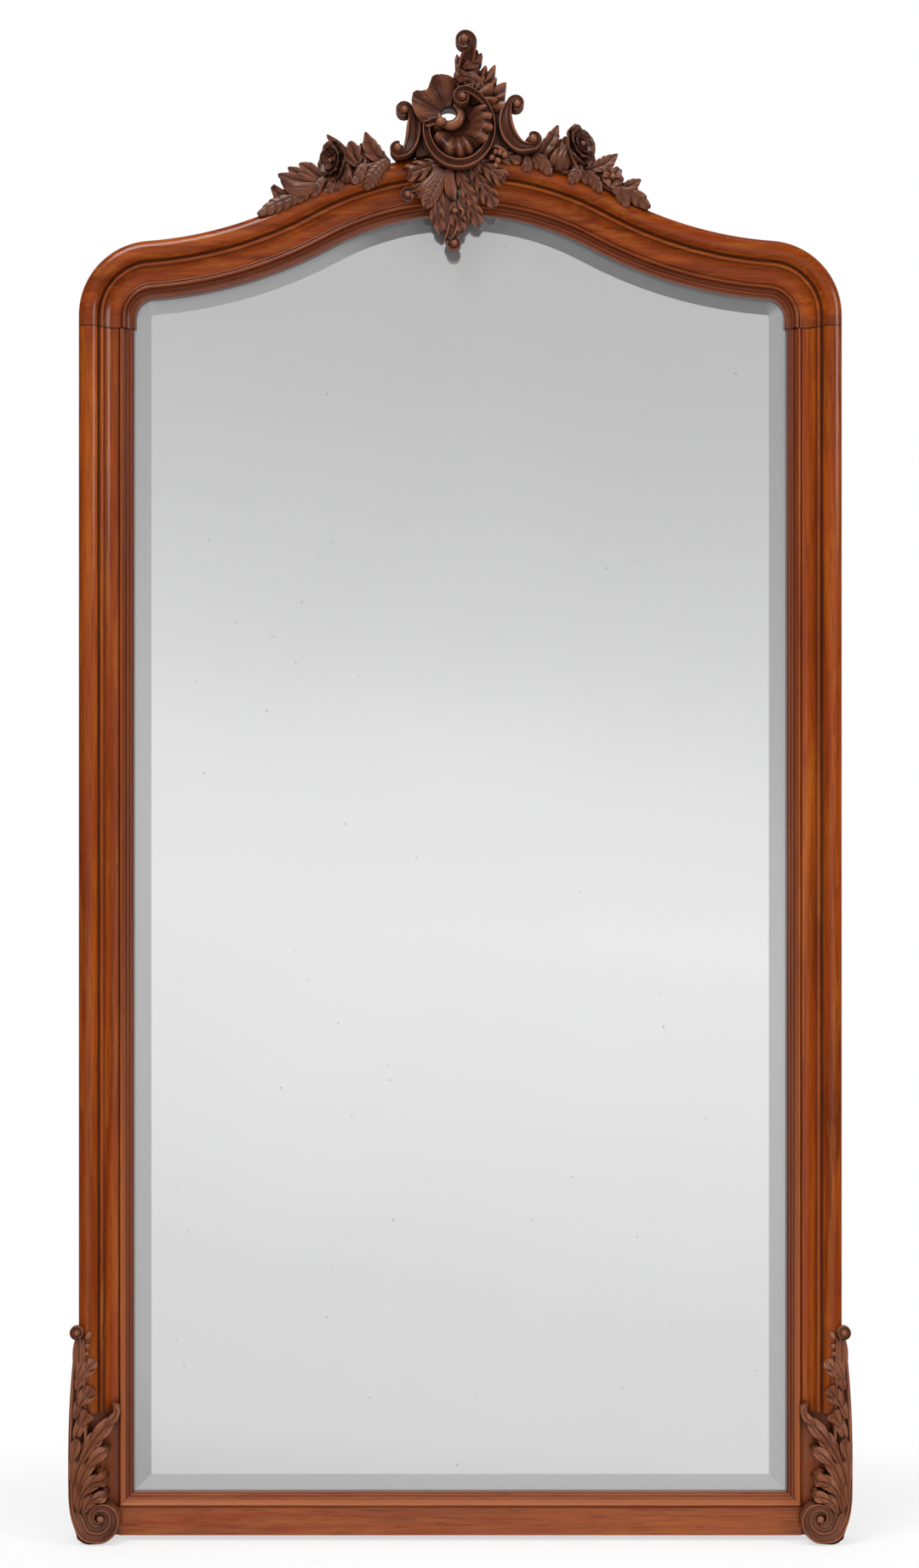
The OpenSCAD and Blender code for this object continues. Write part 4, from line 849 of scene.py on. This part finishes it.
carved("garland_to_left", [
    boss((-161, 2005), 13, 46, depth=0.4),
    stem([(-112, 2007, 50, 5.5), (-150, 1996, 50, 5.5), (-186, 1984, 50, 5.0), (-226, 1966, 50, 4.5),
          (-262, 1948, 50, 3.6), (-286, 1937, 51, 2.4)]),
    on_stem([(-102, 2006, 7), (-116, 2013, 13), (-129, 2027, 12.5), (-138, 2051, 1.2)], teeth=4),
    on_stem([(-116, 2006, 6), (-130, 2013, 9), (-138, 2022, 8), (-145, 2036, 1)], 47),
    on_stem([(-150, 1998, 7), (-152, 2010, 13), (-155, 2021, 14), (-160, 2038, 2)], bite=0.36),
    on_stem([(-146, 2000, 6), (-144, 2010, 9), (-142, 2018, 8), (-141, 2027, 2)], 48, teeth=2),
    on_stem([(-150, 2000, 5), (-165, 2014, 8), (-177, 2027, 7.5), (-193, 2044, 1)], 60, 50, teeth=2,
            bite=0.1),
    over_head([(-104, 2008, 8), (-116, 1999, 13), (-127, 1985, 13), (-137, 1966, 2)], 59, teeth=7),
    over_head([(-136, 2004, 6), (-143, 1995, 10), (-148, 1985, 9), (-158, 1973, 2)], 60, curl=40),
    over_head([(-164, 2002, 4), (-165, 1994, 8), (-165, 1984, 8), (-163, 1975, 2)], 64, teeth=1,
              bite=0.05, crown=0.7),
    over_head([(-172, 1996, 4), (-174, 1984, 7), (-175, 1974, 6), (-178, 1965, 1.5)], 59, teeth=2),
    on_stem([(-196, 1982, 6), (-208, 1990, 10.5), (-220, 1998, 9.5), (-234, 2006, 1.2)]),
    on_stem([(-206, 1976, 8), (-224, 1984, 11), (-237, 1991, 8), (-250, 1999, 1)], 54, 44, teeth=2),
    on_stem([(-206, 1974, 8), (-226, 1977, 12), (-244, 1981, 9), (-264, 1988, 1)], 58, 46, teeth=2),
    over_head([(-208, 1971, 7), (-226, 1967, 11), (-243, 1968, 9), (-261, 1979, 1)], 62, 50, teeth=1,
              bite=0.05, curl=30),
    on_stem([(-232, 1960, 6), (-248, 1958, 10), (-262, 1960, 9), (-275, 1972, 3)], 54, teeth=2,
            curl=50),
    over_head([(-222, 1966, 7), (-244, 1954, 12), (-266, 1945, 12), (-293, 1931, 3)], 58, 48, teeth=6),
    over_head([(-182, 1986, 5), (-185, 1978, 8), (-188, 1970, 7), (-191, 1961, 1.5)]),
    over_head([(-198, 1984, 5), (-204, 1975, 8), (-210, 1966, 8), (-216, 1956, 1.5)], 59),
    over_head([(-212, 1976, 5), (-220, 1966, 8), (-229, 1957, 7), (-238, 1947, 1.5)])],
    "garland_left")
carved("garland_to_right", [
    boss((170, 2006), 17, 46, depth=0.4), boss((203, 1990), 10, 46, depth=0.5),
    boss((103, 2013), 7, 46, depth=0.6),
    stem([(112, 2007, 50, 5.5), (150, 1996, 50, 5.5), (186, 1984, 50, 5.0), (226, 1966, 50, 4.5),
          (256, 1950, 50, 3.6), (270, 1943, 51, 2.4)]),
    on_stem([(108, 2012, 8), (122, 2026, 11), (133, 2041, 10), (142, 2061, 1.2)], teeth=4),
    on_stem([(122, 2008, 7), (134, 2018, 10), (142, 2028, 9), (147, 2042, 1.2)], 48, teeth=2),
    on_stem([(138, 2006, 7), (146, 2020, 11), (151, 2031, 10), (154, 2046, 2)], 46),
    over_head([(96, 2014, 6), (97, 2007, 9), (97, 2001, 9), (97, 1992, 1.5)], 59),
    over_head([(106, 2014, 6), (110, 2008, 7), (112, 2004, 7), (114, 1996, 1.5)], 58, teeth=2),
    over_head([(110, 2016, 6), (118, 2009, 10), (124, 2000, 10), (130, 1987, 2)], 60),
    over_head([(156, 2030, 7), (151, 2018, 13), (147, 2008, 13), (143, 1995, 4)], 60, 50, teeth=1,
              bite=0.05, crown=0.6),
    over_head([(142, 2024, 4), (138, 2016, 6), (136, 2010, 6), (136, 2001, 1.5)], 63, teeth=1,
              crown=0.7),
    stem([(156, 2028, 62, 1.8), (162, 2012, 66, 2.4), (170, 1995, 62, 1.8)]),
    over_head([(174, 2004, 6), (170, 1994, 11), (166, 1986, 10), (158, 1975, 1.5)], 60, teeth=4),
    over_head([(172, 1998, 5), (176, 1992, 7), (180, 1984, 6), (184, 1974, 1.5)], 58, teeth=2),
    on_stem([(182, 1996, 6), (198, 2000, 11), (211, 2005, 10.5), (228, 2018, 1.2)], 54, teeth=5),
    over_head([(182, 1992, 6), (190, 1984, 10), (197, 1975, 9), (204, 1962, 1.5)], 59, teeth=4),
    on_stem([(228, 1966, 6), (240, 1971, 9), (250, 1975, 8), (262, 1982, 1.2)], 52, teeth=4),
    over_head([(220, 1968, 7), (238, 1962, 12), (255, 1956, 12.5), (273, 1941, 4)], 58, 46, teeth=4),
    over_head([(226, 1960, 5), (233, 1954, 7), (238, 1949, 6), (245, 1941, 1.2)], teeth=2)]
    # Small flower of five round petals
    + [over_head([(221 + r * math.cos(a), 1984 + r * math.sin(a), half) for r, half in (
        (3, 6), (8, 9), (16, 5))], 61, 46, teeth=1, bite=0.05, crown=-0.2, fold=0.15, slant=0.0)
        for a in np.radians((128, 52, -26, -98, 190))]
    + [boss((221, 1984), 4.6, 63)],
    "garland_right")

# Roses: cabbage roses with rolled petals, one turned to each side. Each is carved in the round from a
# block of walnut, undercut and set on the garland with a dowel


def rose(centre, radius, t, facing, whorls):
    """Whorls of petals round a deep cup, tilted by facing, two angles in degrees: towards the side and
    upwards. A petal is a hollow leaf that lifts from the seat and rolls back at its lip; whorls gives
    how many, where they start and end in radii, lift, roll and first angle."""
    shapes = []
    for count, inner, outer, lift, roll, first in whorls:
        for a in np.radians(first + np.arange(count) * 360 / count):
            way = np.array([math.cos(a), math.sin(a)])
            wide = outer * radius * 0.74
            rows = [(*(way * radius * reach), wide * share) for reach, share in (
                (inner, 0.35), ((inner + outer) / 2, 0.95), (outer * 0.86, 1.0), (outer * 1.05, 0.7))]
            shapes.append(leaf(rows, 2.0, -3.0, lift=lift, curl=roll, start=0.45, free=-0.3, teeth=1,
                               bite=0.03, crown=-0.3, flute=0.02, slant=-0.2, thin=1.9))
    shapes.append(boss((0, 0), radius * 0.16, radius * 0.25, depth=1.6))
    shapes.append(boss((0, 0), radius * 0.55, 1.0, depth=0.3))
    side, up = np.radians(facing)
    turn_side = np.array([[math.cos(side), 0, math.sin(side)], [0, 1, 0],
                          [-math.sin(side), 0, math.cos(side)]])
    turn_up = np.array([[1, 0, 0], [0, math.cos(up), math.sin(up)], [0, -math.sin(up), math.cos(up)]])
    return [(points @ (turn_up @ turn_side).T + [centre[0], centre[1], t], quads, fans, worn)
            for points, quads, fans, worn in shapes]


carved("rose_to_left", rose((-181, 2007), 27.0, 58.0, (-46, -4), [
    (5, 0.10, 1.12, 30, -50, 8), (5, 0.10, 0.92, 54, -60, 40), (4, 0.12, 0.70, 70, -50, 12)]),
    "rose_left")
carved("rose_to_right", rose((170, 2028), 29.0, 58.0, (42, 18), [
    (5, 0.10, 1.10, 30, -56, 0), (5, 0.08, 0.92, 50, -66, 34), (4, 0.06, 0.72, 66, -60, 12),
    (3, 0.03, 0.44, 78, -50, 50)]), "rose_right")

# Feet: an acanthus over a scroll on each stile's end, a ribbon down its outer side. Each is one block,
# dowelled to the plain ground of the stile
stile_edge = -555.0
ground = 31.3


def by_stile(rows):
    """Rows that start with the distance outside the left stile's edge and the height."""
    rows = np.array(rows, float)
    rows[:, 0] = stile_edge - rows[:, 0]
    return rows


# How far the scroll's band is from its middle at each eighth of a turn
coil = np.radians([0, -45, -90, -135, -180, -225, -270, -315, -360, -405, -450])
coil_reach = np.array([33.8, 31.8, 27.4, 22.7, 19.6, 18.4, 17.2, 15.4, 12.8, 9.8, 6.8])
ribbon = np.vstack([
    [(2.5, 292, 2.0, 58), (5.5, 262, 2.6, 58), (8.4, 220, 3.0, 58), (10.3, 175, 3.2, 58),
     (10.7, 130, 3.4, 59), (10.5, 90, 3.4, 60), (9.2, 62, 3.8, 61)],
    np.stack([-33 + coil_reach * np.cos(coil), 38.4 + coil_reach * np.sin(coil),
              [8.8, 8.8, 8.6, 8.0, 7.2, 6.0, 5.2, 4.8, 4.4, 3.8, 3.0],
              [61, 62, 62, 62, 62, 62.5, 63, 63, 63.5, 64, 64]], 1)])
cheek = [(-3, 301, 6.4, 59), (-3, 280, 8.6, 60), (-2, 262, 9.6, 60), (-0.4, 220, 11.6, 60),
         (0, 175, 13.2, 60), (-0.6, 130, 14, 60), (-2, 90, 15.2, 60), (-4.6, 56, 16.4, 60),
         (-10, 34, 16, 59), (-16, 19, 14, 58)]
top_curl = spiral((1.0, 309), (8.4, 5.4), (-100, 300), (3.4, 1.8), (61.5, 65), 12)


def foot_leaf(rows, t, floor, **how):
    return leaf(by_stile(rows), t, floor, **{**acanthus, **how})


def foot_boss(outside, z, radius, t, **how):
    return boss((stile_edge - outside, z), radius, t, **how)


toe = by_stile([(-28, 2.0), (-40, 12), (-52, 26), (-56, 44), (-40, 56), (-20, 66), (0, 62), (6, 40),
                (3, 16), (-12, 2.0)])[:, :2]
heel = by_stile([(-29, 1.2), (-13, 1.0), (-3, 6), (4, 20), (5, 38), (0.5, 38), (0.4, 8),
                 (-29, 7.8)])[:, :2]
foot = [
    scroll(by_stile(cheek), 0.3, hollow=-0.3, stations=90),
    pierced(toe, (stile_edge + 24, 34), 1.0, ground, 58.0),
    pierced(heel, (stile_edge + 8, 5), 0.6, 0.3, 57.0, edge=1.0),
    scroll(by_stile(ribbon), [1.0] * 7 + [ground] * 14, hollow=0.2, stations=300),
    foot_boss(-33, 38.4, 20, 50, depth=0.24), foot_boss(-33, 38.4, 5.4, 61, depth=0.7),
    scroll(by_stile(top_curl), 56.4, stations=150),
    foot_boss(1, 309, 10.4, 56, depth=0.6), foot_boss(1, 309, 4.0, 63),
    foot_boss(-15, 304, 5.0, 57, turn=60, long=1.4), foot_boss(-14, 289, 4.2, 57),
    foot_boss(-13, 278, 3.4, 57)]
# The lower leaves are drawn out into strands
strand = {"teeth": 3, "bite": 0.3, "flute": 0.16, "slant": 1.1, "crown": 0.42, "veins": 0.09}
foot += [
    foot_leaf([(-1, 250, 6), (-1.6, 268, 9.4), (-1.6, 286, 8.6), (0.4, 302, 3)], 58, 56.4, teeth=1,
              bite=0.04, slant=0.2, flute=0.02),
    foot_leaf([(3, 226, 6), (-5, 243, 10), (-14, 256, 10), (-25, 268, 2)], 58, 56.4, teeth=3),
    foot_leaf([(2, 240, 4), (-2, 252, 6), (-6, 262, 5), (-11, 272, 1.5)], 60, 56.4, teeth=1),
    foot_leaf([(6, 184, 6), (-3, 203, 11), (-13, 218, 11), (-25, 233, 4)], 58, 56.4, teeth=3, curl=60),
    foot_leaf([(4, 152, 6), (-2, 170, 9), (-10, 184, 11), (-19, 196, 5)], 60, 56.4, teeth=2, curl=60),
    foot_leaf([(8.6, 92, 4.6), (7.4, 118, 6.6), (4, 138, 8), (0, 157, 4)], 60, 50, teeth=2, curl=40),
    foot_leaf([(7, 58, 6), (4, 94, 10), (-8, 126, 12), (-24, 153, 12), (-42, 174, 8), (-53, 186, 4.5),
               (-56, 196, 3.5), (-51, 204, 1.5)], 57, ground, **strand | {"teeth": 5}),
    foot_leaf([(3, 54, 5), (-3, 88, 9), (-13, 112, 10), (-27, 129, 9), (-42, 139, 2)], 60, ground,
              **strand),
    foot_leaf([(-1, 50, 6), (-6, 72, 9), (-18, 88, 11), (-32, 95, 9), (-44, 99, 3)], 61, ground,
              **strand | {"curl": 50}),
    foot_leaf([(-8, 48, 6), (-16, 62, 9), (-27, 69, 9), (-40, 73, 3)], 62, ground,
              **strand | {"teeth": 2})]
# The feet are painted lighter all over, as painted light from the floor
carved("foot_to_left", foot, "carved_foot_left", painted_floor_light=0.3)
carved("foot_to_right", foot, "carved_foot_right", mirror=True, painted_floor_light=0.3)
